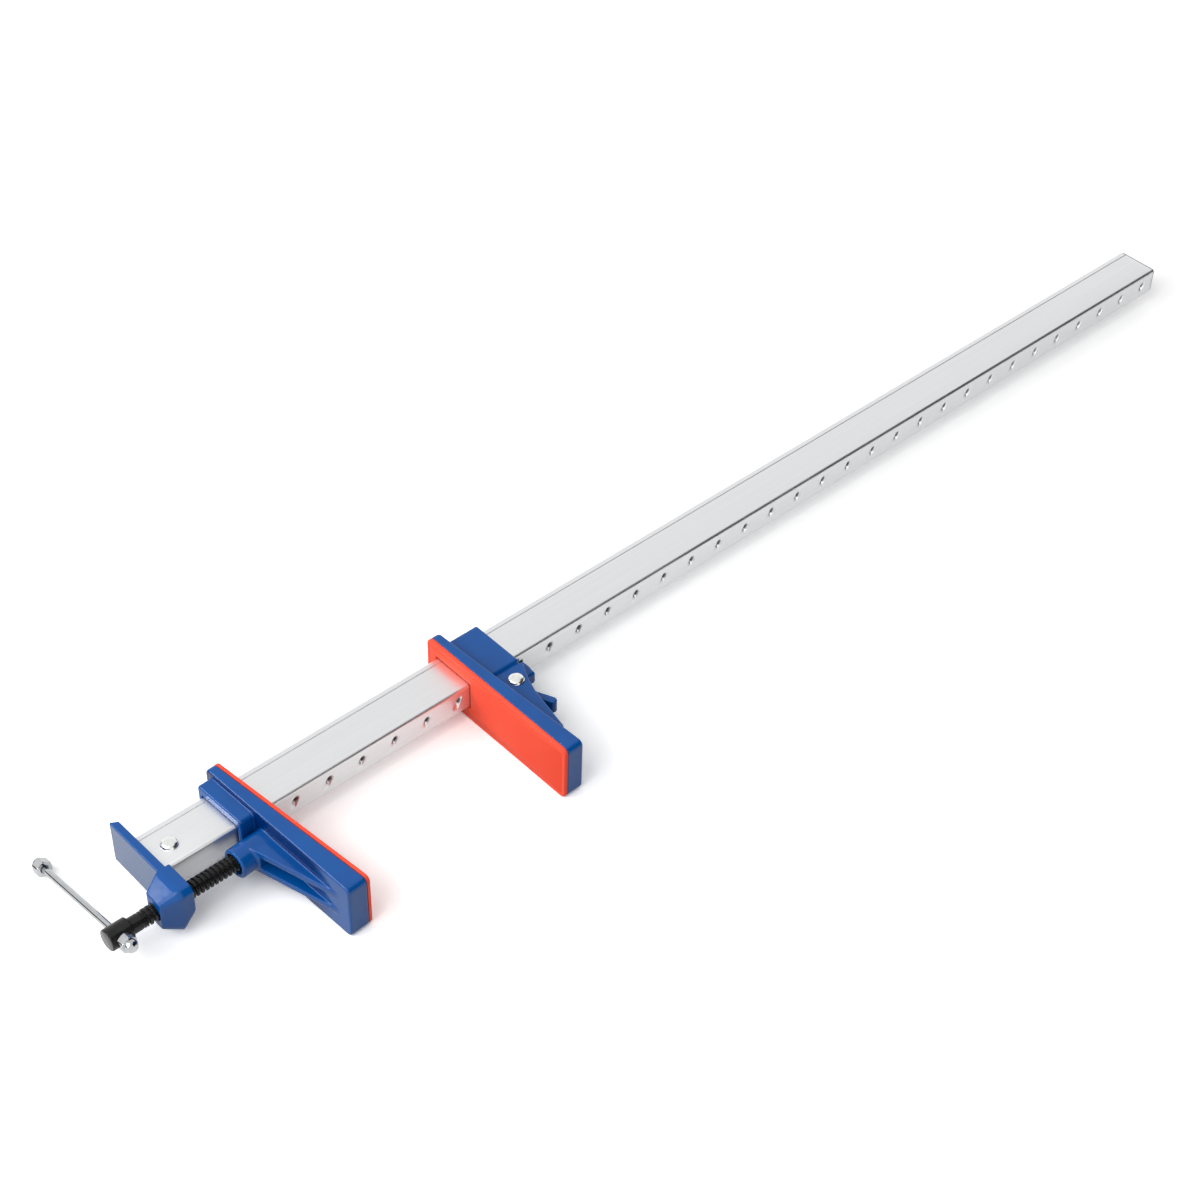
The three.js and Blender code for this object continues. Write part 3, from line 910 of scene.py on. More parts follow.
def settle(shape: Shape, points: Array, step: float) -> Array:
    """Moves points onto a shape's surface.

    Args:
        shape: the shape's signed distance.
        points: the points, close to the surface.
        step: width of the mesh's quads, which limits the moves.

    Returns:
        The moved points.
    """
    probe = step * PROBE_SHARE
    for _ in range(SETTLE_ROUNDS):
        away = shape(*points.T)
        slopes = []
        for axis in range(3):
            shift = np.zeros(3)
            shift[axis] = probe
            slopes.append((shape(*(points + shift).T) - shape(*(points - shift).T)) / (2 * probe))
        slope = np.stack(slopes, 1)
        steep = np.maximum((slope ** 2).sum(1), LEAST_SQUARE)
        move = np.clip(away / steep, -step / 2, step / 2)
        points = points - move[:, None] * slope
    return points


# Turned and lofted forms


def spin(
    profile: Sequence[tuple[float, float]],
    sides: int,
    trim: Callable[[float, float, float], float] | None = None,
) -> Form:
    """Turns a profile about the X axis.

    Args:
        profile: pairs of place along the axis and radius; a radius of zero is a pole.
        sides: number of sides round the axis.
        trim: changes the radius at a place and an angle, for flats and threads.

    Returns:
        The mesh's points and faces.
    """
    points: list[tuple[float, float, float]] = []
    rings: list[list[int]] = []
    for along, radius in profile:
        first = len(points)
        if radius <= 0:
            points.append((along, 0, 0))
            rings.append([first] * sides)
            continue
        for side in range(sides):
            angle = 2 * math.pi * side / sides
            reach = trim(along, radius, angle) if trim else radius
            points.append((along, reach * math.cos(angle), reach * math.sin(angle)))
        rings.append(list(range(first, first + sides)))
    return np.array(points), ribbon(rings)


def dome(
    start: float, end: float, radius: float, fullness: float, steps: int
) -> list[tuple[float, float]]:
    """Makes the profile of a dome, from just above its foot to its pole.

    Args:
        start: place of the foot along the axis.
        end: place of the pole.
        radius: radius at the foot.
        fullness: power of the cosine that shapes it; below 1 it is fuller than an ellipse.
        steps: number of points.

    Returns:
        Pairs of place along the axis and radius.
    """
    profile = []
    for step in range(1, steps):
        angle = math.pi / 2 * step / steps
        profile.append((start + (end - start) * math.sin(angle), radius * math.cos(angle) ** fullness))
    return [*profile, (end, 0.0)]


def ribbon(rings: Sequence[Sequence[int]], closed: bool = False) -> Faces:
    """Joins rings of points with quads, or with triangles at a pole.

    Args:
        rings: point numbers of each ring, in order.
        closed: joins the last ring to the first too.

    Returns:
        The faces.
    """
    faces: Faces = []
    pairs = list(zip(rings, rings[1:])) + ([(rings[-1], rings[0])] if closed else [])
    for lower, upper in pairs:
        for place in range(len(lower)):
            after = (place + 1) % len(lower)
            face = (lower[place], lower[after], upper[after], upper[place])
            kept = tuple(dict.fromkeys(face))
            if len(kept) > 2:
                faces.append(kept)
    return faces


def rounded(low: tuple[float, float], high: tuple[float, float], corner: float, steps: int) -> Array:
    """Makes a rectangle with round corners.

    Args:
        low: lowest corner.
        high: highest corner.
        corner: radius of its corners.
        steps: number of sides of each corner.

    Returns:
        The points, counter-clockwise from the lower right.
    """
    points = []
    for turn, (u, v) in enumerate(((1, 0), (1, 1), (0, 1), (0, 0))):
        middle_u = (high[0] - corner) if u else (low[0] + corner)
        middle_v = (high[1] - corner) if v else (low[1] + corner)
        for step in range(steps + 1):
            angle = math.pi / 2 * (turn - 1 + step / steps)
            points.append((middle_u + corner * math.cos(angle), middle_v + corner * math.sin(angle)))
    return np.array(points)


def ease(share: float | Array) -> float | Array:
    """Returns a smooth step from 0 to 1 over that range."""
    held = np.clip(share, 0, 1)
    return held * held * (3 - 2 * held)


# Sub-assemblies


def mesh_of(name: str, form: Form) -> bpy.types.Mesh:
    """Makes a mesh of a form.

    Args:
        name: the mesh's name.
        form: its points and faces.

    Returns:
        The mesh.
    """
    mesh = bpy.data.meshes.new(name)
    points, faces = form
    mesh.from_pydata([tuple(point) for point in points], [], faces)
    return mesh


def stand(name: str, data: bpy.types.ID) -> bpy.types.Object:
    """Puts a mesh, a lamp or a camera into the scene.

    Args:
        name: the object's name.
        data: its mesh, lamp or camera.

    Returns:
        The object.
    """
    made = bpy.data.objects.new(name, data)
    bpy.context.scene.collection.objects.link(made)
    return made


def row_place() -> Matrix:
    """Finds the step from the clamp's own millimetres, X = 0 at its bar's start, to the row's metres.

    Returns:
        The step as a matrix.
    """
    low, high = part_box("bar_tube")
    start = Vector((low.x, (low.y + high.y) / 2, 0))
    return Matrix.Translation(start) @ Matrix.Scale(MM, 4)


@dataclass
class Assembly:
    """A sub-assembly: where it sits, and the pieces that it has made.

    All of them hang on the bar, whose axis runs at axis_height, beside the screw's, at screw_y.
    """

    place: Matrix = field(default_factory=row_place)
    pieces: list[bpy.types.Object] = field(default_factory=list)
    axis_height: float = 20.5
    screw_y: float = -30.4

    def band(self, half: float) -> tuple[float, float]:
        """Returns the heights that far below and above the bar's axis."""
        return self.axis_height - half, self.axis_height + half

    def add(
        self,
        name: str,
        form: Form,
        finish: Finish,
        body: Body,
        nodes: Sequence[str],
        place: Matrix | None = None,
        sharp: float = 40,
    ) -> bpy.types.Object:
        """Makes one piece that stands for nodes of the frame and rides on a body.

        Args:
            name: the piece's name.
            form: its points, in millimetres, and faces.
            finish: its finish.
            body: the body that carries it.
            nodes: the frame's nodes that it stands for.
            place: a further step from its own frame to the sub-assembly's.
            sharp: angle in degrees from which an edge stays sharp.

        Returns:
            The piece.
        """
        mesh = mesh_of(name, form)
        mesh.transform(self.place @ (place or Matrix()))
        mesh.shade_smooth()
        mesh.set_sharp_from_angle(angle=math.radians(sharp))
        mesh.materials.append(finish.material())
        mesh.validate()
        piece = stand(name, mesh)
        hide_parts(*nodes)
        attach(piece, body.value)
        self.pieces.append(piece)
        log.info("%s: %d faces on body %s", name, len(mesh.polygons), body.value)
        return piece


@dataclass
class Rivet:
    """Rivet about its own X axis with a domed head at each end."""

    shank: float = 3
    clearance: float = 0.3
    head: float = 5.5
    height: float = 2.8
    rim: float = 0.5
    foot: float = 0.15
    foot_rise: float = 0.12
    shoulder: float = 0.35
    fullness: float = 0.9
    steps: int = 12
    sides: int = 64

    @property
    def hole(self) -> float:
        """Radius of the hole that the rivet sits in."""
        return self.shank + self.clearance

    def form(self, low: float, high: float) -> Form:
        """Makes the rivet.

        Args:
            low: face under one head.
            high: face under the other head.

        Returns:
            The rivet's points and faces.
        """
        head = [
            (0.0, self.shank), (0.0, self.head - self.foot), (self.foot_rise, self.head),
            (self.rim, self.head)]
        head += dome(
            self.rim + self.foot, self.height, self.head - self.shoulder, self.fullness, self.steps)
        lower = [(low - rise, radius) for rise, radius in reversed(head)]
        upper = [(high + rise, radius) for rise, radius in head]
        return spin(lower + upper, self.sides)


@dataclass
class Bar(Assembly):
    """The bar: an extruded box section with a scribed line and a row of lanced notches.

    A notch's punch dents the wall down a ramp, scoops through it just behind, above the middle, and
    leaves it sheer at the back with a low lip.
    """

    length: float = 906
    width: float = 32
    height: float = 20
    wall: float = 2
    corner: float = 2.2
    bore_corner: float = 0.8
    corner_steps: int = 7
    cut_edge: float = 1.3
    cut_drop: float = 0.45
    groove_inset: float = 4.8
    groove_width: float = 0.8
    groove_depth: float = 0.5
    groove_taper: float = 0.8
    pitch: float = 25
    first: float = 92.5
    notch_height: float = 10.4
    notch_reach: float = 5.9
    notch_step: float = 0.32
    notch_ease: float = 3.6
    column_half: float = 6.8
    column_step: float = 0.4
    column_ends: tuple[float, float] = (7.3, 8.0)
    slant: float = 0.4
    dent: float = 0.9
    ramp: float = 4.2
    scoop: float = 3.9
    scoop_rise: float = 0.9
    scoop_height: float = 1.9
    scoop_start: float = 2.2
    scoop_run: float = 1.6
    back: float = 1.5
    back_run: float = 0.7
    lip: float = 0.25
    lip_place: float = 1.9
    lip_width: float = 0.45
    through: float = 1.9
    painted_shade_turn: float = 0.3
    painted_shade_drop: float = 0.8

    def notches(self) -> list[float]:
        """Returns the places of the notches along the bar."""
        return list(np.arange(self.first, self.length, self.pitch))

    def depth(self, along: Array, height: Array) -> Array:
        """Gives how deep a notch's punch pressed the wall in.

        Args:
            along: place along the bar from the notch's middle.
            height: height from the bar's middle.

        Returns:
            Depth into the bar, below zero where the lip stands proud.
        """
        across = along - self.slant * height
        ends = ease((self.notch_height / 2 - np.abs(height)) / self.notch_ease)
        dent = self.dent * ease((across + self.ramp) / self.ramp)
        upper = np.exp(-((height - self.scoop_rise) / self.scoop_height) ** 2)
        scoop = (self.scoop - self.dent) * upper * ease((across + self.scoop_start) / self.scoop_run)
        back = np.clip((self.back - across) / self.back_run, 0, 1)
        lip = self.lip * np.exp(-((across - self.lip_place) / self.lip_width) ** 2)
        return ends * ((dent + scoop) * back - lip)

    def section(self, outer: bool, columns: Array) -> Array:
        """Makes the points round the bar's section, from the notched side.

        Args:
            outer: the outer surface, and otherwise the bore.
            columns: heights of the points on the notched side.

        Returns:
            The points in Y and Z.
        """
        wall = 0 if outer else self.wall
        side, top = self.width / 2 - wall, self.height / 2 - wall
        corner = self.corner if outer else self.bore_corner
        depth = self.groove_depth if outer else 0
        groove = self.width / 2 - self.groove_inset
        wide = self.groove_width / 2
        narrow = wide * self.groove_taper
        line = [(groove - wide, 0), (groove - narrow, depth), (groove + narrow, depth), (groove + wide, 0)]
        turns = [math.pi / 2 * step / self.corner_steps for step in range(self.corner_steps + 1)]
        bend = [(corner * math.cos(turn), corner * math.sin(turn)) for turn in turns]
        y, z = side - corner, top - corner
        points = [(-side, min(max(value, -z), z)) for value in columns]
        points += [(-y - far, z + near) for far, near in bend]
        points += [(place, top - deep) for place, deep in line]
        points += [(y + near, z + far) for far, near in bend]
        points += [(side, 0.0)]
        points += [(y + far, -z - near) for far, near in bend]
        points += [(place, deep - top) for place, deep in reversed(line)]
        points += [(-y - near, -z - far) for far, near in bend]
        return np.array(points)

    def form(self) -> Form:
        """Makes the bar: an outer and an inner sheet, joined at both ends and round each opening.

        Returns:
            The bar's points and faces.
        """
        fine = np.arange(-self.column_half, self.column_half + self.column_step / 2, self.column_step)
        ends = np.array(self.column_ends)
        columns = np.concatenate([-ends[::-1], fine, ends])
        near = np.arange(-self.notch_reach, self.notch_reach, self.notch_step)
        stations = [0.0, self.cut_edge]
        for place in self.notches():
            stations += list(place + near)
        stations += [self.length - self.cut_edge, self.length]
        along = np.array(stations)
        outer, inner = self.section(True, columns), self.section(False, columns)
        round_it, count = len(outer), len(along)
        sheets = []
        pressed = np.zeros((count, len(columns)))
        for place in self.notches():
            close = np.abs(along - place) < self.notch_reach + self.notch_step / 2
            pressed[close] = self.depth(along[close][:, None] - place, columns[None, :])
        for section in (outer, inner):
            sheet = np.zeros((count, round_it, 3))
            sheet[..., 0] = along[:, None]
            sheet[..., 1:] = section[None]
            sheet[:, :len(columns), 1] += pressed
            sheets.append(sheet)
        # Deburring the saw's cut leaves a shallow bevel round both ends
        sheets[0][[0, -1], :, 1] *= 1 - 2 * self.cut_drop / self.width
        sheets[0][[0, -1], :, 2] *= 1 - 2 * self.cut_drop / self.height
        open_cells = np.zeros((count - 1, round_it), bool)
        deep = np.minimum.reduce([
            pressed[:-1, :-1], pressed[1:, :-1], pressed[:-1, 1:], pressed[1:, 1:]])
        open_cells[:, :len(columns) - 1] = deep > self.through
        points = np.concatenate([sheet.reshape(-1, 3) for sheet in sheets])
        faces = self.sheet_faces(open_cells, count, round_it)
        points[:, 2] += self.axis_height
        return points, faces

    @staticmethod
    def sheet_faces(open_cells: Array, count: int, round_it: int) -> Faces:
        """Joins the points of both sheets, their ends and the rims of the openings.

        Args:
            open_cells: the cells that the punch broke through.
            count: number of stations along the bar.
            round_it: number of points round the section.

        Returns:
            The faces.
        """
        second = count * round_it
        numbers = np.arange(second).reshape(count, round_it)
        faces: Faces = []
        edges: dict[tuple[int, int], int] = {}
        for station in range(count - 1):
            for place in range(round_it):
                after = (place + 1) % round_it
                if open_cells[station, place]:
                    continue
                ring = (
                    int(numbers[station, place]), int(numbers[station, after]),
                    int(numbers[station + 1, after]), int(numbers[station + 1, place]))
                faces.append(ring)
                faces.append(tuple(second + corner for corner in reversed(ring)))
                for start, end in zip(ring, ring[1:] + ring[:1]):
                    edges[(start, end)] = 1
        for start, end in edges:
            if (end, start) not in edges:
                faces.append((end, start, second + start, second + end))
        return faces

    def build(self) -> None:
        """Makes the bar, with painted shade on its ends, in its bore and on the notches' upper walls."""
        bar = self.add("bar_extrusion", self.form(), ALUMINIUM, Body.FRAME, ["bar_tube"], sharp=32)
        for finish in (SHADED_END_ALUMINIUM, SHADED_BORE_ALUMINIUM):
            bar.data.materials.append(finish.material())
        low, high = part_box("bar_tube")
        inner = len(bar.data.vertices) // 2
        for face in bar.data.polygons:
            # Painted shade: the faces at both bevelled ends take dark aluminium
            if min(face.center.x - low.x, high.x - face.center.x) < self.cut_edge * MM:
                face.material_index = 1
            # Painted shade: the bore's faces, and the notches' faces turned to -X above the middle, take
            # very dark aluminium
            elif min(face.vertices) >= inner or (
                    face.normal.x < -self.painted_shade_turn
                    and face.center.z > (self.axis_height - self.painted_shade_drop) * MM):
                face.material_index = 2


@dataclass
class FixedHead(Assembly):
    """The fixed head casting and the rivet that holds it in the bar."""

    plate: float = 6
    half_height: float = 16
    near: float = -42.6
    far: float = 30
    taper: float = 0.8
    end_slant: float = 3
    tongue: float = 28
    tongue_start: float = -3
    tongue_half: tuple[float, float] = (13.7, 7.7)
    tongue_corner: float = 1
    side: float = 12
    bevel: float = 3.5
    root_bevel: float = 13
    mouth_bevel: float = 2
    inner: float = 2.6
    mouth: float = -17.6
    mouth_side: float = 6.8
    mouth_half: float = 10.5
    bore: float = 5.85
    edge: float = 0.9
    plan_corner: float = 0.7
    tongue_edge: float = 0.5
    fillet: float = 0.6
    boss_fillet: float = 0.25
    opening_edge: float = 0.4
    mesh_step: float = 0.5
    bar_half: float = 10
    rivet_place: tuple[float, float] = (13.5, -2)
    rivet_hole: tuple[float, float] = (5, 20)
    rivet: Rivet = field(default_factory=Rivet)

    def boss(self) -> Shape:
        """Makes the boss, a faceted block that narrows to the screw's mouth.

        Returns:
            The boss's signed distance.
        """
        def section(x: float, side: float, half: float, upper: float, lower: float) -> list[tuple]:
            """Places the corners of the boss at one place along the screw.

            Args:
                x: the place.
                side: half its width.
                half: half its height.
                upper: bevel of its upper corners.
                lower: bevel of its lower corners.

            Returns:
                The corners.
            """
            outline = [
                (side, -half), (side, half), (upper - side, half), (-side, half - upper),
                (-side, lower - half), (lower / 2 - side, -half)]
            return [(x, self.screw_y + y, self.axis_height + z) for y, z in outline]
        corners = (
            section(self.inner, self.side, self.half_height, self.bevel, self.root_bevel)
            + section(-self.plate, self.side, self.half_height, self.bevel, self.bevel)
            + section(self.mouth, self.mouth_side, self.mouth_half, self.mouth_bevel, self.mouth_bevel))
        return convex(corners, self.edge)

    def form(self) -> Form:
        """Makes the casting.

        Returns:
            The casting's points and faces.
        """
        low, high = self.band(self.half_height)
        plan = [
            (-self.plate, self.screw_y), (0, self.screw_y), (-self.taper, self.far - self.end_slant),
            (-self.plate, self.far)]
        plate = meet(self.edge, prism(Axis.Z, plan, self.plan_corner), slab(2, low, high))
        tongue = meet(
            self.tongue_edge, box_bar((0, self.axis_height), self.tongue_half, self.tongue_corner),
            slab(0, self.tongue_start, self.tongue))
        body = join(self.boss_fillet, join(self.fillet, plate, tongue), self.boss())
        bore = rod(Axis.X, (self.screw_y, self.axis_height), self.bore)
        hole = meet(
            DRILLED, rod(Axis.Z, self.rivet_place, self.rivet.hole), slab(0, *self.rivet_hole))
        casting = cut(self.opening_edge, body, bore, hole)
        return skin(casting, (self.mouth, self.near, low), (self.tongue, self.far, high), self.mesh_step)

    def build(self) -> None:
        """Makes the casting and its rivet."""
        # Its enamel has a painted reflection of the pale floor on the plate's face towards the screw's
        # head
        self.add("fixed_head_casting", self.form(), PAINTED_REFLECTION_ENAMEL, Body.FRAME, ["fixed_head"], sharp=60)
        upright = Matrix.Translation((*self.rivet_place, 0)) @ Matrix.Rotation(-math.pi / 2, 4, "Y")
        self.add(
            "head_rivet_domed", self.rivet.form(*self.band(self.bar_half)), ZINC, Body.FRAME,
            ["head_rivet"], upright)


@dataclass
class ScrewTrain(Assembly):
    """The clamp screw and its sliding handle, turned to where the handle rests."""

    tilt: float = -9.8
    crest: float = 5.55
    root: float = 4.3
    pitch: float = 3.175
    pitch_rings: int = 14
    flank: float = 5
    crest_share: float = 0.42
    run_out: float = 1.2
    thread_start: float = -25.5
    shoulder: float = 57.1
    neck: float = 5.2
    head: float = 7
    head_end: float = -49.6
    head_length: float = 15.1
    chamfer: float = 0.7
    end_face_depth: float = 0.2
    nose: float = 3.5
    nose_groove: float = 2.8
    nose_slot: float = 65.6
    edge_angle: float = 35
    rod_radius: float = 2.2
    rod_play: float = 0.3
    rod_edge: float = 0.4
    rod_sides: int = 48
    drill_reach: float = 9
    drill_sides: int = 40
    rod_ends: tuple[float, float] = (-15.7, 87.6)
    nut_faces: tuple[float, float] = (-7.3, 79.2)
    nut_across: float = 9.8
    nut_hex: float = 5.6
    nut_dome: float = 4.5
    nut_wall: float = 1.6
    nut_fullness: float = 0.85
    nut_steps: int = 14
    sides: int = 72

    def __post_init__(self) -> None:
        """Sets the train on the screw's axis."""
        seat = Matrix.Translation((0, self.screw_y, self.axis_height))
        self.place = self.place @ seat @ Matrix.Rotation(math.radians(self.tilt), 4, "X")

    def thread(self, along: float, radius: float, angle: float) -> float:
        """Gives the radius of the screw where it is threaded, and leaves it elsewhere.

        Args:
            along: place along the screw.
            radius: radius of the plain profile there.
            angle: angle round the screw.

        Returns:
            The radius there.
        """
        if radius != self.crest:
            return radius
        share = ((along - self.thread_start) / self.pitch - angle / (2 * math.pi)) % 1
        rise = ease((self.crest_share - abs(share - 0.5)) * self.flank)
        lead = min(along - self.thread_start, self.shoulder - along)
        fade = min(max(lead / self.run_out, 0), 1)
        return self.root + (self.crest - self.root) * rise * fade

    def screw_form(self) -> Form:
        """Makes the screw: head, neck, thread and grooved nose.

        Returns:
            The screw's points and faces.
        """
        end, mouth = self.head_end, self.head_end + self.head_length
        steps = int((self.shoulder - self.thread_start) / (self.pitch / self.pitch_rings))
        run = np.linspace(self.thread_start, self.shoulder, steps)
        # Its edges are eased by a few tenths of a millimetre, so that they catch the light
        profile = [
            (end, 0.0), (end, self.head - self.chamfer), (end + 0.15, self.head - 0.4),
            (end + self.chamfer, self.head), (mouth - self.chamfer, self.head),
            (mouth - 0.1, self.head - 0.5), (mouth, self.head - self.chamfer), (mouth, self.neck + 0.4),
            (mouth + 0.4, self.neck), (self.thread_start - 2.4, self.neck),
            (self.thread_start - 2.1, self.neck - 0.5), (self.thread_start - 1.3, self.neck - 0.5),
            (self.thread_start - 1.0, self.neck), (self.thread_start - 0.3, self.neck)]
        profile += [(float(place), self.crest) for place in run]
        slot = self.nose_slot
        profile += [
            (self.shoulder + 0.05, self.nose), (slot, self.nose), (slot, self.nose_groove),
            (slot + 2, self.nose_groove), (slot + 2, self.nose), (slot + 2.9, self.nose),
            (slot + 3.2, self.nose - 0.3), (slot + 3.2, 0.0)]
        return spin(profile, self.sides, self.thread)

    def nut_form(self) -> Form:
        """Makes a dome nut along X, its open face at zero.

        Returns:
            The nut's points and faces.
        """
        half = self.nut_across / 2
        corner = half / math.cos(math.pi / 6)

        def flats(along: float, radius: float, angle: float) -> float:
            """Gives the radius of the hexagon, its corners turned off at both ends.

            Args:
                along: place along the nut.
                radius: radius of the plain profile there.
                angle: angle round the nut.

            Returns:
                The radius there.
            """
            if radius < corner:
                return radius
            turned = (angle + math.pi / 6) % (math.pi / 3) - math.pi / 6
            flat = half / math.cos(turned)
            lathe = half + 0.15 + 1.9 * min(along, self.nut_hex - along)
            return min(flat, lathe, corner - 0.15)

        bore = self.rod_radius + self.rod_play
        deep = self.nut_hex + self.nut_dome - self.nut_wall
        profile = [(deep, 0.0), (deep, bore), (0.3, bore), (0.0, bore + 0.4), (0.0, half - 0.2)]
        steps = (0.02, 0.12, 0.25, 0.4, 0.6, 1.2)
        profile += [(place, corner) for place in (*steps, self.nut_hex / 2)]
        profile += [(self.nut_hex - place, corner) for place in reversed(steps)]
        profile += [(self.nut_hex, self.nut_dome - 0.1), (self.nut_hex + 0.25, self.nut_dome - 0.35)]
        profile += dome(
            self.nut_hex + 0.45, self.nut_hex + self.nut_dome, self.nut_dome - 0.2, self.nut_fullness,
            self.nut_steps)
        return spin(profile, self.sides, flats)

    def rod_form(self) -> Form:
        """Makes the handle rod along X.

        Returns:
            The rod's points and faces.
        """
        low, high = self.rod_ends
        radius, edge = self.rod_radius, self.rod_edge
        profile = [(low, 0.0), (low, radius - edge), (low + edge, radius)]
        profile += [(float(place), radius) for place in np.linspace(low + 1, high - 1, 24)]
        profile += [(high - edge, radius), (high, radius - edge), (high, 0.0)]
        return spin(profile, self.rod_sides)

    def build(self) -> None:
        """Makes the screw, the rod and both nuts."""
        screw = self.add(
            "lead_screw", self.screw_form(), BLACK_STEEL, Body.SCREW, ["clamp_screw"],
            sharp=self.edge_angle)
        middle = self.head_end + self.head_length / 2
        across = Matrix.Translation((middle, 0, 0)) @ Matrix.Rotation(math.pi / 2, 4, "Z")
        self.drill(screw, self.place @ across)
        screw.data.materials.append(PAINTED_REFLECTION_STEEL.material())
        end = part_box("clamp_screw")[0].x
        # Painted reflection: the head's end face takes paler grey steel for the pale floor that it mirrors
        for face in screw.data.polygons:
            if face.center.x - end < self.end_face_depth * MM:
                face.material_index = 1
        self.add("handle_rod_chromed", self.rod_form(), CHROME, Body.HANDLE, ["handle_rod"], across)
        near, far = self.nut_faces
        self.add(
            "dome_nut_far", self.nut_form(), CHROME, Body.HANDLE, ["handle_nut_far"],
            across @ Matrix.Translation((far, 0, 0)), 28)
        self.add(
            "dome_nut_near", self.nut_form(), CHROME, Body.HANDLE, ["handle_nut_near"],
            across @ Matrix.Translation((near, 0, 0)) @ Matrix.Rotation(math.pi, 4, "Z"), 28)

    def drill(self, screw: bpy.types.Object, place: Matrix) -> None:
        """Drills the handle's hole through the screw's head.

        Args:
            screw: the screw.
            place: the step from the drill's own frame to the row's.
        """
        bore, reach = self.rod_radius + self.rod_play, self.drill_reach
        profile = [(-reach, 0.0), (-reach, bore), (reach, bore), (reach, 0.0)]
        mesh = mesh_of("handle_drill", spin(profile, self.drill_sides))
        mesh.transform(place)
        tool = stand("handle_drill", mesh)
        modifier = screw.modifiers.new("drill", "BOOLEAN")
        modifier.operation = "DIFFERENCE"
        modifier.solver = "EXACT"
        modifier.object = tool
        apply_modifiers(screw)
        bpy.data.objects.remove(tool)
        screw.data.set_sharp_from_angle(angle=math.radians(self.edge_angle))


def apply_modifiers(piece: bpy.types.Object) -> None:
    """Bakes a piece's modifiers into its mesh.

    Args:
        piece: the piece.
    """
    graph = bpy.context.evaluated_depsgraph_get()
    made = bpy.data.meshes.new_from_object(piece.evaluated_get(graph))
    piece.modifiers.clear()
    old, piece.data = piece.data, made
    bpy.data.meshes.remove(old)


@dataclass
class Pad:
    """A jaw's moulded pad in its own frame, facing +X, with a window for the bar.

    A rounded edge is drawn through one point between its ends, which bend gives as shares of its
    radius.
    """

    near: float
    far: float
    bar_middle: float
    play: float
    height: float = 41
    thickness: float = 2.4
    gap: float = 0.3
    corner: float = 4
    corner_loss: float = 3
    corner_steps: int = 8
    edge: float = 0.7
    bend: tuple[float, float] = (0.3, 0.25)
    bar_half: tuple[float, float] = (16, 10)
    window_corner: float = 1.4
    window_edge: float = 0.4
    line_inset: float = 2.6
    line_depth: float = 0.22
    line_half: float = 0.3
    line_floor: float = 0.1
    axis_height: float = 20.5

    def form(self) -> Form:
        """Makes the pad as one closed ring of loops round its window.

        Returns:
            The pad's points and faces.
        """
        back, front = self.gap, self.gap + self.thickness
        reach, rise = self.bar_half[0] + self.play, self.bar_half[1] + self.play
        middle, height = self.bar_middle, self.axis_height

        def outer(place: float, inward: float) -> Array:
            """Makes a loop round the pad.

            Args:
                place: the loop's place along X.
                inward: how far it lies inside the outline.

            Returns:
                The loop's points.
            """
            flat = rounded(
                (self.near + inward, inward), (self.far - inward, self.height - inward),
                self.corner - min(inward, self.corner_loss), self.corner_steps)
            return np.column_stack([np.full(len(flat), place), flat])

        def window(place: float, outward: float) -> Array:
            """Makes a loop round the window.

            Args:
                place: the loop's place along X.
                outward: how far it lies outside the window's edge.

            Returns:
                The loop's points.
            """
            flat = rounded(
                (middle - reach - outward, height - rise - outward),
                (middle + reach + outward, height + rise + outward),
                self.window_corner + outward, self.corner_steps)
            return np.column_stack([np.full(len(flat), place), flat])

        line, dip = self.line_inset, front - self.line_depth
        down, along = self.bend
        loops = [
            outer(back, 0), outer(front - self.edge, 0),
            outer(front - self.edge * down, self.edge * along), outer(front, self.edge),
            outer(front, line - self.line_half), outer(dip, line - self.line_floor),
            outer(dip, line + self.line_floor), outer(front, line + self.line_half)]
        loops += [
            window(front, self.window_edge),
            window(front - self.window_edge * down, self.window_edge * along),
            window(front - self.window_edge, 0), window(back, 0)]
        points = np.concatenate(loops)
        count = len(loops[0])
        rings = [list(range(start * count, (start + 1) * count)) for start in range(len(loops))]
        return points, ribbon(rings, closed=True)


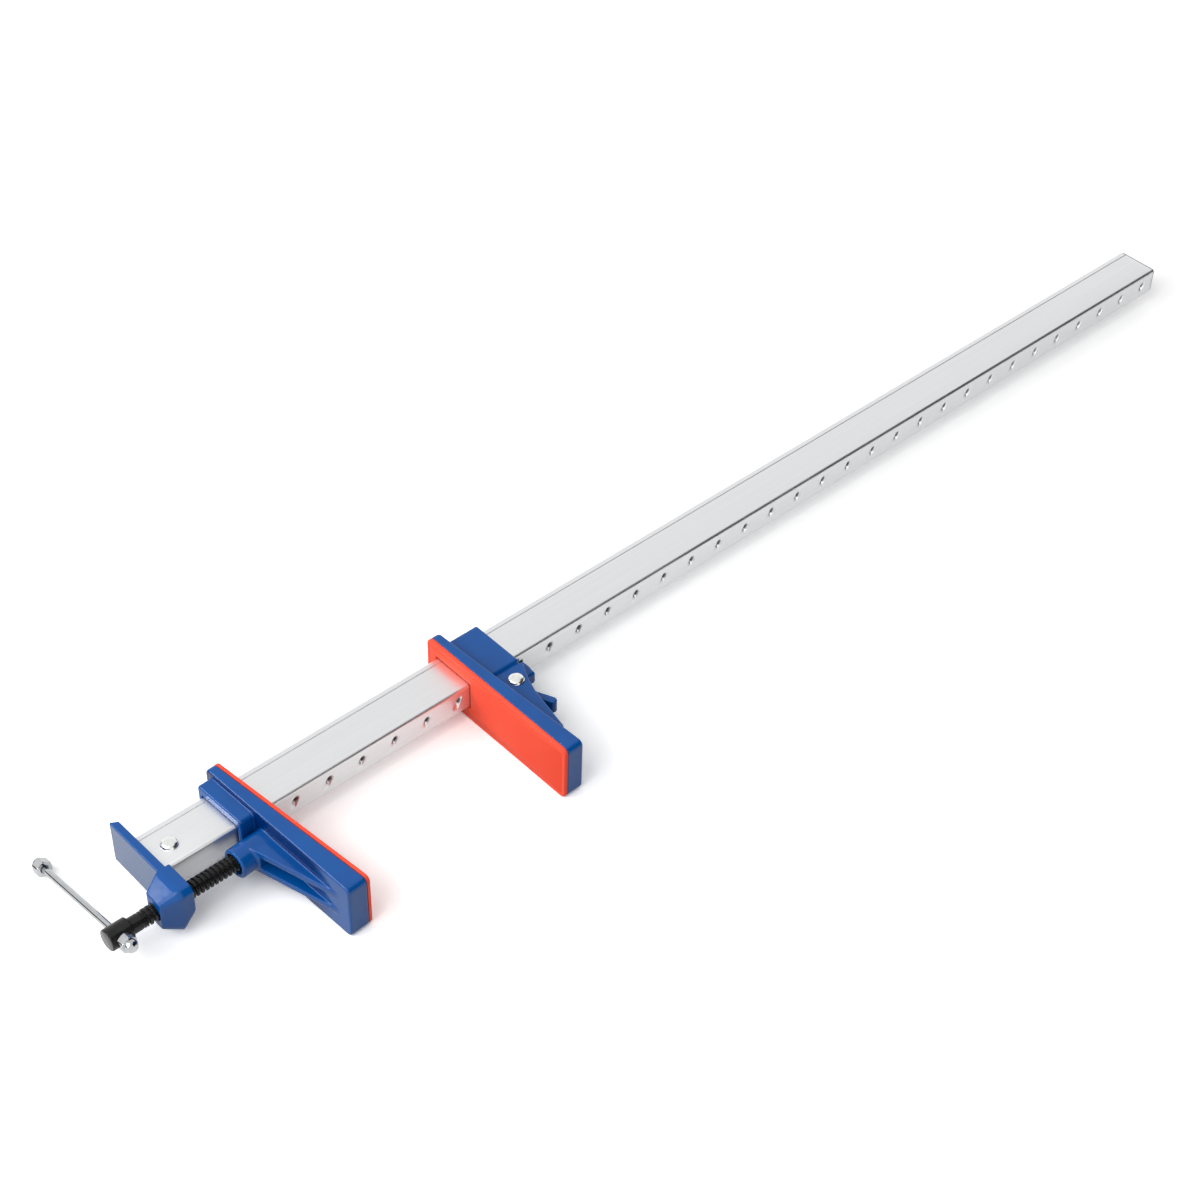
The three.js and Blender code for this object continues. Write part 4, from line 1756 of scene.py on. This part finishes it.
@dataclass
class FrontJaw(Assembly):
    """The front jaw: plate, collar, boss and ribbed gusset in one casting, with its pad."""

    back: float = 60.8
    swivel: float = 2
    cock: float = 2.5
    toe: float = 3.3
    bar_y: float = 30.4
    far: float = 55.4
    length: float = 130
    height: float = 41
    far_thickness: float = 6
    corner: float = 4
    overlap: float = 3
    boss_radius: float = 9.5
    boss_length: float = 24
    socket_radius: float = 7.05
    socket_floor: float = -1.2
    nose_radius: float = 4.1
    pocket_radius: float = 7
    pocket_floor: float = 4.6
    collar_depth: float = 10
    collar_half: tuple[float, float] = (20.2, 17)
    collar_corner: float = 2.5
    window_half: tuple[float, float] = (17, 11)
    window_corner: float = 1.4
    gusset_depth: float = 15
    gusset_length: float = 62
    gusset_half: float = 9
    gusset_foot: float = 4
    rib: float = 4.2
    edge: float = 1.4
    face_edge: float = 0.5
    boss_edge: float = 1.2
    rib_edge: float = 0.6
    rib_corner: float = 0.3
    channel_corner: float = 1.0
    channel_edge: float = 0.4
    fillet: float = 1.0
    boss_fillet: float = 1.6
    opening_edge: float = 0.45
    front: float = 14
    mesh_step: float = 0.55
    pad_play: float = 1

    def __post_init__(self) -> None:
        """Sets the jaw on the screw's nose, turned as it hangs on the bar."""
        pivot = Matrix.Translation((self.back + self.swivel, self.screw_y, 0))
        turn = Matrix.Rotation(math.radians(self.cock), 4, "Z")
        self.place = self.place @ pivot @ turn @ Matrix.Translation((-self.swivel, 0, 0))

    def plate(self) -> Shape:
        """Makes the tapered plate.

        Returns:
            The plate's signed distance.
        """
        near = self.far - self.length
        slope = math.tan(math.radians(self.toe))
        face = plane((1, slope, 0), (self.far_thickness, self.far, 0))
        blank = panel(Axis.X, (near, 0), (self.far, self.height), self.corner)
        return meet(self.face_edge, meet(self.edge, blank, plane((-1, 0, 0), (0, 0, 0))), face)

    def gusset(self) -> Shape:
        """Makes the gusset: two ribs that run out on the plate's back.

        Their outline and the channel between them reach into the plate, so that no face lies on its back.

        Returns:
            The gusset's signed distance.
        """
        low, high = self.band(self.gusset_half)
        depth, inside, foot = self.gusset_depth, self.overlap, self.gusset_foot
        end = -self.gusset_length * (1 + inside / depth)
        outline = [(inside, foot), (-depth, foot), (-depth, 0), (inside, end)]
        blank = meet(self.rib_edge, prism(Axis.Z, outline, self.rib_corner), slab(2, low, high))
        between = panel(
            Axis.X, (2 * end, low + self.rib), (-self.boss_radius, high - self.rib), self.channel_corner)
        channel = meet(self.rib_edge, between, plane((1, 0, 0), (inside / 2, 0, 0)))
        return cut(self.channel_edge, blank, channel)

    def form(self) -> Form:
        """Makes the casting.

        Returns:
            The casting's points and faces.
        """
        middle, on_bar = (0.0, self.axis_height), (self.bar_y, self.axis_height)
        collar = meet(
            self.edge, box_bar(on_bar, self.collar_half, self.collar_corner),
            slab(0, -self.collar_depth, self.overlap))
        boss = meet(
            self.boss_edge, rod(Axis.X, middle, self.boss_radius),
            slab(0, -self.boss_length, self.overlap))
        body = join(self.fillet, self.plate(), collar, join(self.boss_fillet, self.gusset(), boss))
        window = box_bar(on_bar, self.window_half, self.window_corner)
        socket = meet(
            DRILLED, rod(Axis.X, middle, self.socket_radius), slab(0, -BEYOND, self.socket_floor))
        nose = rod(Axis.X, middle, self.nose_radius)
        pocket = meet(
            DRILLED, rod(Axis.X, middle, self.pocket_radius), slab(0, self.pocket_floor, BEYOND))
        casting = cut(self.opening_edge, body, window, socket, nose, pocket)
        near = self.far - self.length
        return skin(
            casting, (-self.boss_length, near, 0), (self.front, self.far, self.height), self.mesh_step)

    def build(self) -> None:
        """Makes the casting and its pad."""
        # The casting's enamel has painted shade on the plate's back behind the gusset
        self.add("front_jaw_casting", self.form(), PAINTED_SHADE_ENAMEL, Body.FRONT_JAW, ["front_jaw"], sharp=60)
        stretch = 1 / math.cos(math.radians(self.toe))
        pad = Pad(
            (self.far - self.length) * stretch, self.far * stretch, self.bar_y * stretch, self.pad_play)
        face = self.far_thickness + self.far * math.tan(math.radians(self.toe))
        place = Matrix.Translation((face, 0, 0)) @ Matrix.Rotation(math.radians(self.toe), 4, "Z")
        self.add(
            "front_jaw_pad_moulded", pad.form(), PLASTIC, Body.FRONT_JAW, ["front_jaw_pad"], place, 50)


@dataclass
class Spring:
    """The latch's coil spring, along X."""

    coil: float = 2.4
    wire: float = 0.4
    turns: int = 6
    steps: int = 24
    sides: int = 10

    def form(self, start: float, end: float) -> Form:
        """Makes the spring.

        Args:
            start: place of the middle of its wire at the fixed end.
            end: place of the middle of its wire at the latch's tab.

        Returns:
            The spring's points and faces.
        """
        count = self.turns * self.steps
        points, rings = [], []
        for step in range(count + 1):
            angle = 2 * math.pi * step / self.steps
            outward = Vector((0, math.cos(angle), math.sin(angle)))
            middle = Vector((start + (end - start) * step / count, 0, 0)) + outward * self.coil
            rings.append(list(range(len(points), len(points) + self.sides)))
            for side in range(self.sides):
                turn = 2 * math.pi * side / self.sides
                reach = outward * (self.wire * math.cos(turn)) + Vector((self.wire * math.sin(turn), 0, 0))
                points.append(tuple(middle + reach))
        faces = [tuple(reversed(face)) for face in ribbon(rings)]
        faces += [tuple(rings[0]), tuple(reversed(rings[-1]))]
        return np.array(points), faces


@dataclass
class SlidingJaw(Assembly):
    """The sliding jaw: plate, hub and forked web in one casting, with its pad, latch, pin and spring."""

    front: float = 229.3
    far: float = 25
    length: float = 130
    height: float = 41
    tip: float = 12
    root: float = 6
    corner: float = 4
    hub_low: tuple[float, float] = (-22, 6.5)
    hub_high: tuple[float, float] = (19.4, 34.5)
    hub_corner: float = 2.5
    hub_start: float = 2
    hub_back: float = 32.4
    window_half: tuple[float, float] = (16.8, 10.8)
    window_corner: float = 1.4
    web_half: float = 11.5
    fork: tuple[float, float] = (15, 26)
    fork_start: float = 9.5
    fork_length: float = 30
    behind: float = 35
    mesh_step: float = 0.55
    pad_play: float = 0.8
    pivot: tuple[float, float] = (21.1, -32.5)
    latch_half: float = 5
    hub_radius: float = 6
    nose: tuple[float, float, float] = (13, 9.6, 5.5)
    tooth: tuple[float, float, float] = (15.7, 18.5, 16.2)
    tooth_radius: float = 1.4
    latch_shoulder: tuple[float, float] = (11.8, 2)
    latch_low: tuple[float, float] = (-6.5, -26)
    latch_step: float = 0.35
    tab_length: float = 25
    tab_radius: float = 2.7
    tab_angle: float = -65.5
    edge: float = 1.3
    face_edge: float = 0.5
    web_edge: float = 1.2
    web_corner: float = 0.6
    fillet: float = 1.2
    opening_edge: float = 0.45
    fork_edge: float = 0.2
    fork_corner: float = 0.6
    latch_edge: float = 2.4
    latch_fillet: float = 1.0
    thumb_edge: float = 1.2
    thumb_fillet: float = 0.8
    latch_hole_edge: float = 0.3
    spring_y: float = -50
    spring_keep: float = 0.7
    spring: Spring = field(default_factory=Spring)
    rivet: Rivet = field(default_factory=Rivet)

    def __post_init__(self) -> None:
        """Sets the jaw on the bar."""
        self.place = self.place @ Matrix.Translation((self.front, 0, 0))

    def form(self) -> Form:
        """Makes the casting.

        Returns:
            The casting's points and faces.
        """
        near = self.far - self.length
        blank = panel(Axis.X, (near, 0), (self.far, self.height), self.corner)
        behind = plane((self.length, self.tip - self.root, 0), (self.tip, near, 0))
        plate = meet(self.face_edge, meet(self.edge, blank, behind), plane((-1, 0, 0), (0, 0, 0)))
        hub = meet(
            self.edge, panel(Axis.X, self.hub_low, self.hub_high, self.hub_corner),
            slab(0, self.hub_start, self.hub_back))
        # The web seen from above, from the plate's back round the latch's pin to the hub
        plan = [
            (2, -20), (2, -89), (12, -89), (18, -80.3), (24.3, -48), (27.7, -38),
            (34.7, -23), (30.8, -22), (30.0, -20)]
        low, high = self.band(self.web_half)
        web = meet(self.web_edge, prism(Axis.Z, plan, self.web_corner), slab(2, low, high))
        body = join(self.fillet, plate, join(self.fillet, hub, web))
        window = box_bar((0, self.axis_height), self.window_half, self.window_corner)
        under, over = self.fork
        gap = panel(Axis.X, (self.pivot[1] - self.fork_length, under), (0, over), self.fork_corner)
        slot = meet(self.fork_edge, gap, slab(0, self.fork_start, BEYOND))
        hole = rod(Axis.Z, self.pivot, self.rivet.hole)
        casting = cut(self.opening_edge, body, window, slot, hole)
        return skin(casting, (0, near, 0), (self.behind, self.far, self.height), self.mesh_step)

    def latch_form(self) -> Form:
        """Makes the latch in its own frame, its pivot at zero.

        Returns:
            The latch's points and faces.
        """
        x, y, radius = self.nose
        front, back, end = self.tooth
        round_tooth = self.tooth_radius
        angle = math.radians(self.tab_angle)
        tab = (self.tab_length * math.cos(angle), self.tab_length * math.sin(angle))
        flat = slab(2, -self.latch_half, self.latch_half)
        arm = self.link((0, 0), self.hub_radius, (x, y), radius)
        hook = self.link((x, y), radius, (front + round_tooth, end - round_tooth), round_tooth)
        thumb = self.link((0, 0), self.tab_radius, tab, self.tab_radius)
        shoulder = panel(Axis.Z, self.latch_shoulder, (back, end - 1), 2)
        lever = meet(self.latch_edge, join(self.latch_fillet, arm, hook, shoulder), flat)
        body = join(self.thumb_fillet, lever, meet(self.thumb_edge, thumb, flat))
        latch = cut(self.latch_hole_edge, body, rod(Axis.Z, (0, 0), self.rivet.hole))
        return skin(
            latch, (*self.latch_low, -self.latch_half), (back + 0.5, end + 0.5, self.latch_half),
            self.latch_step)

    @staticmethod
    def link(
        start: tuple[float, float], radius: float, end: tuple[float, float], end_radius: float
    ) -> Shape:
        """Makes an endless bar along Z whose section is the hull of two circles.

        Args:
            start: middle of the first circle.
            radius: its radius.
            end: middle of the second circle.
            end_radius: its radius.

        Returns:
            The bar's signed distance.
        """
        run = Vector(end) - Vector(start)
        length = run.length
        along = run / length
        lean = (radius - end_radius) / length
        lift = math.sqrt(1 - lean * lean)

        def distance(*point: Array) -> Array:
            """Gives the signed distance at each point.

            Args:
                point: the points' X, Y and Z.

            Returns:
                The distances, below zero inside.
            """
            u = (point[0] - start[0]) * along.x + (point[1] - start[1]) * along.y
            v = np.abs((point[1] - start[1]) * along.x - (point[0] - start[0]) * along.y)
            share = u * lift - v * lean
            first = np.sqrt(u ** 2 + v ** 2) - radius
            second = np.sqrt((u - length) ** 2 + v ** 2) - end_radius
            side = v * lift + u * lean - radius
            nearest = np.where(share < 0, first, np.where(share > length * lift, second, side))
            # Adding no height spreads the values over the grid's heights
            return nearest + 0 * point[2]

        return distance

    def build(self) -> None:
        """Makes the casting, its pad, the latch, its pin and its spring."""
        self.add("sliding_jaw_casting", self.form(), ENAMEL, Body.SLIDING_JAW, ["sliding_jaw"], sharp=60)
        pad = Pad(self.far - self.length, self.far, 0, self.pad_play)
        turned = Matrix.Translation((0, 0, self.height)) @ Matrix.Rotation(math.pi, 4, "Y")
        self.add(
            "sliding_jaw_pad_moulded", pad.form(), PLASTIC, Body.SLIDING_JAW, ["sliding_jaw_pad"],
            turned, 50)
        pivot = Matrix.Translation((*self.pivot, self.axis_height))
        self.add("latch_casting", self.latch_form(), ENAMEL, Body.LATCH, ["latch_lever"], pivot, 60)
        upright = Matrix.Translation((*self.pivot, 0)) @ Matrix.Rotation(-math.pi / 2, 4, "Y")
        self.add(
            "latch_pin_domed", self.rivet.form(*self.band(self.web_half)), ZINC, Body.SLIDING_JAW,
            ["latch_pin"], upright)
        seat = Matrix.Translation((0, self.spring_y, self.axis_height))
        inverse = self.place.inverted()
        start, end = [(inverse @ corner).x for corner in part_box("latch_spring")]
        spring = self.add(
            "latch_spring_wound", self.spring.form(start + self.spring.wire, end - self.spring.wire),
            SPRING_STEEL, Body.SLIDING_JAW, ["latch_spring"], seat)
        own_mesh(spring)


def dress_hidden_nodes() -> None:
    """Gives the two carried-over pieces inside the front jaw their finishes."""
    for name, finish in (("thrust_washer", ZINC), ("nose_retaining_ring", SPRING_STEEL)):
        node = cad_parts[name]
        for slot in node.material_slots:
            slot.material = finish.material()
        log.info("%s: carried over with %s", name, finish.name)


# Studio


@dataclass(frozen=True)
class Softbox:
    """A square soft lamp that faces the clamp: its place and side in metres, its power in watts."""

    name: str
    place: tuple[float, float, float]
    size: float
    power: float

    def hang(self) -> None:
        """Hangs the lamp."""
        lamp = bpy.data.lights.new(self.name, "AREA")
        lamp.shape = "SQUARE"
        lamp.size = self.size
        lamp.energy = self.power
        hung = stand(self.name, lamp)
        hung.location = self.place
        hung.rotation_euler = (-Vector(self.place)).to_track_quat("-Z", "Y").to_euler()


@dataclass(frozen=True)
class Card:
    """A curved dark card that only gloss sees, for the dark lines on rounded metal.

    It runs round the clamp between two angles from the X axis, in degrees. Its lower and its upper
    rim are a radius and a height, in metres.
    """

    name: str
    start: float
    end: float
    lower: tuple[float, float]
    upper: tuple[float, float]
    steps: int = 12

    def put_up(self, felt: bpy.types.Material) -> None:
        """Stands the card up, covered in felt.

        Args:
            felt: the felt's material.
        """
        points, faces = [], []
        for step in range(self.steps + 1):
            angle = math.radians(self.start + (self.end - self.start) * step / self.steps)
            for radius, height in (self.lower, self.upper):
                points.append((radius * math.cos(angle), radius * math.sin(angle), height))
        for first in range(0, 2 * self.steps, 2):
            faces.append((first, first + 2, first + 3, first + 1))
        card = stand(self.name, mesh_of(self.name, (np.array(points), faces)))
        card.data.materials.append(felt)
        card.visible_camera = False
        card.visible_diffuse = False
        card.visible_shadow = False
        card.visible_transmission = False


@dataclass
class Studio:
    """Pale floor, soft light and the camera at the photograph's viewing angle.

    A paper is its shade and its own glow.
    """

    camera_place: tuple[float, float, float] = (-0.85707, -0.79699, 1.07618)
    camera_turn: tuple[float, float, float] = (46.8316, -1.3795, -42.2371)
    camera_clip: tuple[float, float] = (0.01, 50)
    lens: float = 71.44
    sensor: float = 36
    floor_size: float = 12
    floor_colour: str = "8C8C8C"
    felt_colour: str = "2A2A2A"
    mirrored_paper: tuple[float, float] = (0.8, 0.15)
    seen_paper: tuple[float, float] = (1.42, 0.0)
    ambient: float = 0.6
    wall_span: tuple[float, float] = (0.35, 0.65)
    ceiling: float = 0.85
    softboxes: tuple[Softbox, ...] = (
        Softbox("key_softbox", (-2.0, 0.0, 1.45), 2.2, 30),
        Softbox("side_lamp", (-1.3, 0.75, 0.9), 0.6, 6.5),
        Softbox("spark_lamp", (-1.0, -0.2, 2.0), 0.12, 1.5))
    cards: tuple[Card, ...] = (
        Card("front_card", -90, 5, (1.9, 0.06), (1.25, 2.2)),
        Card("far_card", 110, 180, (2.2, 0.02), (2.2, 0.7)))

    def floor(self) -> None:
        """Lays the floor: paper that takes the clamp's shadow and shows white where it is lit.

        To the camera the lit paper is just over white, so that only the close shadow shows, and in
        reflections it is just under white. All other light meets plain grey paper.
        """
        half = self.floor_size / 2
        corners = np.array([(-half, -half, 0), (half, -half, 0), (half, half, 0), (-half, half, 0)])
        floor = stand("studio_floor", mesh_of("studio_floor", (corners, [(0, 1, 2, 3)])))
        material = bare_material("Seamless_white_paper")
        tree = material.node_tree
        ray, both = self.looking_rays(tree)
        paper = put(tree, "ShaderNodeBsdfDiffuse", {"Color": linear(self.floor_colour)})
        bright = []
        for shade, glow in (self.mirrored_paper, self.seen_paper):
            shaded = put(tree, "ShaderNodeBsdfDiffuse", {"Color": (shade, shade, shade, 1)})
            white = put(tree, "ShaderNodeEmission", {"Strength": glow})
            bright.append(put(tree, "ShaderNodeAddShader", {0: shaded.outputs[0], 1: white.outputs[0]}))
        seen = put(tree, "ShaderNodeMixShader", {
            0: ray.outputs["Is Camera Ray"], 1: bright[0].outputs[0], 2: bright[1].outputs[0]})
        mix = put(tree, "ShaderNodeMixShader", {0: both, 1: paper.outputs[0], 2: seen.outputs[0]})
        put(tree, "ShaderNodeOutputMaterial", {"Surface": mix.outputs[0]})
        floor.data.materials.append(material)

    @staticmethod
    def looking_rays(tree: bpy.types.NodeTree) -> tuple[bpy.types.Node, bpy.types.NodeSocket]:
        """Tells the rays that look at the background from the ones that carry light.

        Args:
            tree: the node tree of the floor or the room.

        Returns:
            The Light Path node, and 1 for a camera, glossy or transmission ray and 0 otherwise.
        """
        ray = put(tree, "ShaderNodeLightPath")
        seen = put(tree, "ShaderNodeMath", {
            0: ray.outputs["Is Camera Ray"], 1: ray.outputs["Is Glossy Ray"]}, operation="ADD")
        both = put(tree, "ShaderNodeMath", {
            0: seen.outputs[0], 1: ray.outputs["Is Transmission Ray"]}, operation="ADD", use_clamp=True)
        return ray, both.outputs[0]

    def world(self) -> None:
        """Sets the room: a soft even light, and to the camera, gloss and glass white walls.

        The walls darken a little towards the ceiling, which the camera doesn't look at.
        """
        world = bpy.data.worlds.new("studio_room")
        world.use_nodes = True
        bpy.context.scene.world = world
        tree = world.node_tree
        tree.nodes.clear()
        place = put(tree, "ShaderNodeTexCoord")
        height = put(tree, "ShaderNodeSeparateXYZ", {0: place.outputs["Generated"]})
        walls = put(tree, "ShaderNodeMapRange", {
            "Value": height.outputs["Z"], "From Min": self.wall_span[0], "From Max": self.wall_span[1],
            "To Min": 1.0, "To Max": self.ceiling})
        both = self.looking_rays(tree)[1]
        level = put(tree, "ShaderNodeMapRange", {
            "Value": both, "To Min": self.ambient, "To Max": walls.outputs[0]})
        room = put(tree, "ShaderNodeBackground", {"Color": (1, 1, 1, 1), "Strength": level.outputs[0]})
        put(tree, "ShaderNodeOutputWorld", {"Surface": room.outputs[0]})

    def felt(self) -> bpy.types.Material:
        """Makes the cards' black felt.

        Returns:
            The material.
        """
        material = bare_material("Black_felt_card")
        felt = put(material.node_tree, "ShaderNodeBsdfDiffuse", {"Color": linear(self.felt_colour)})
        put(material.node_tree, "ShaderNodeOutputMaterial", {"Surface": felt.outputs[0]})
        return material

    def camera(self) -> None:
        """Sets the camera where the photograph was taken from."""
        data = bpy.data.cameras.new("photograph_camera")
        data.lens = self.lens
        data.sensor_width = self.sensor
        data.clip_start, data.clip_end = self.camera_clip
        camera = stand("photograph_camera", data)
        camera.location = self.camera_place
        camera.rotation_euler = Euler([math.radians(turn) for turn in self.camera_turn])
        bpy.context.scene.camera = camera

    def build(self) -> None:
        """Sets up the whole studio."""
        self.camera()
        self.floor()
        self.world()
        for softbox in self.softboxes:
            softbox.hang()
        felt = self.felt()
        for card in self.cards:
            card.put_up(felt)
        bpy.context.scene.view_settings.view_transform = "Standard"


def main() -> None:
    """Builds the studio and the clamp."""
    logging.basicConfig(level=logging.INFO, format="%(name)s %(message)s")
    Studio().build()
    for assembly in (Bar(), FixedHead(), ScrewTrain(), FrontJaw(), SlidingJaw()):
        assembly.build()
        log.info("%s: %d pieces", type(assembly).__name__, len(assembly.pieces))
    dress_hidden_nodes()


if __name__ == "__main__":
    main()
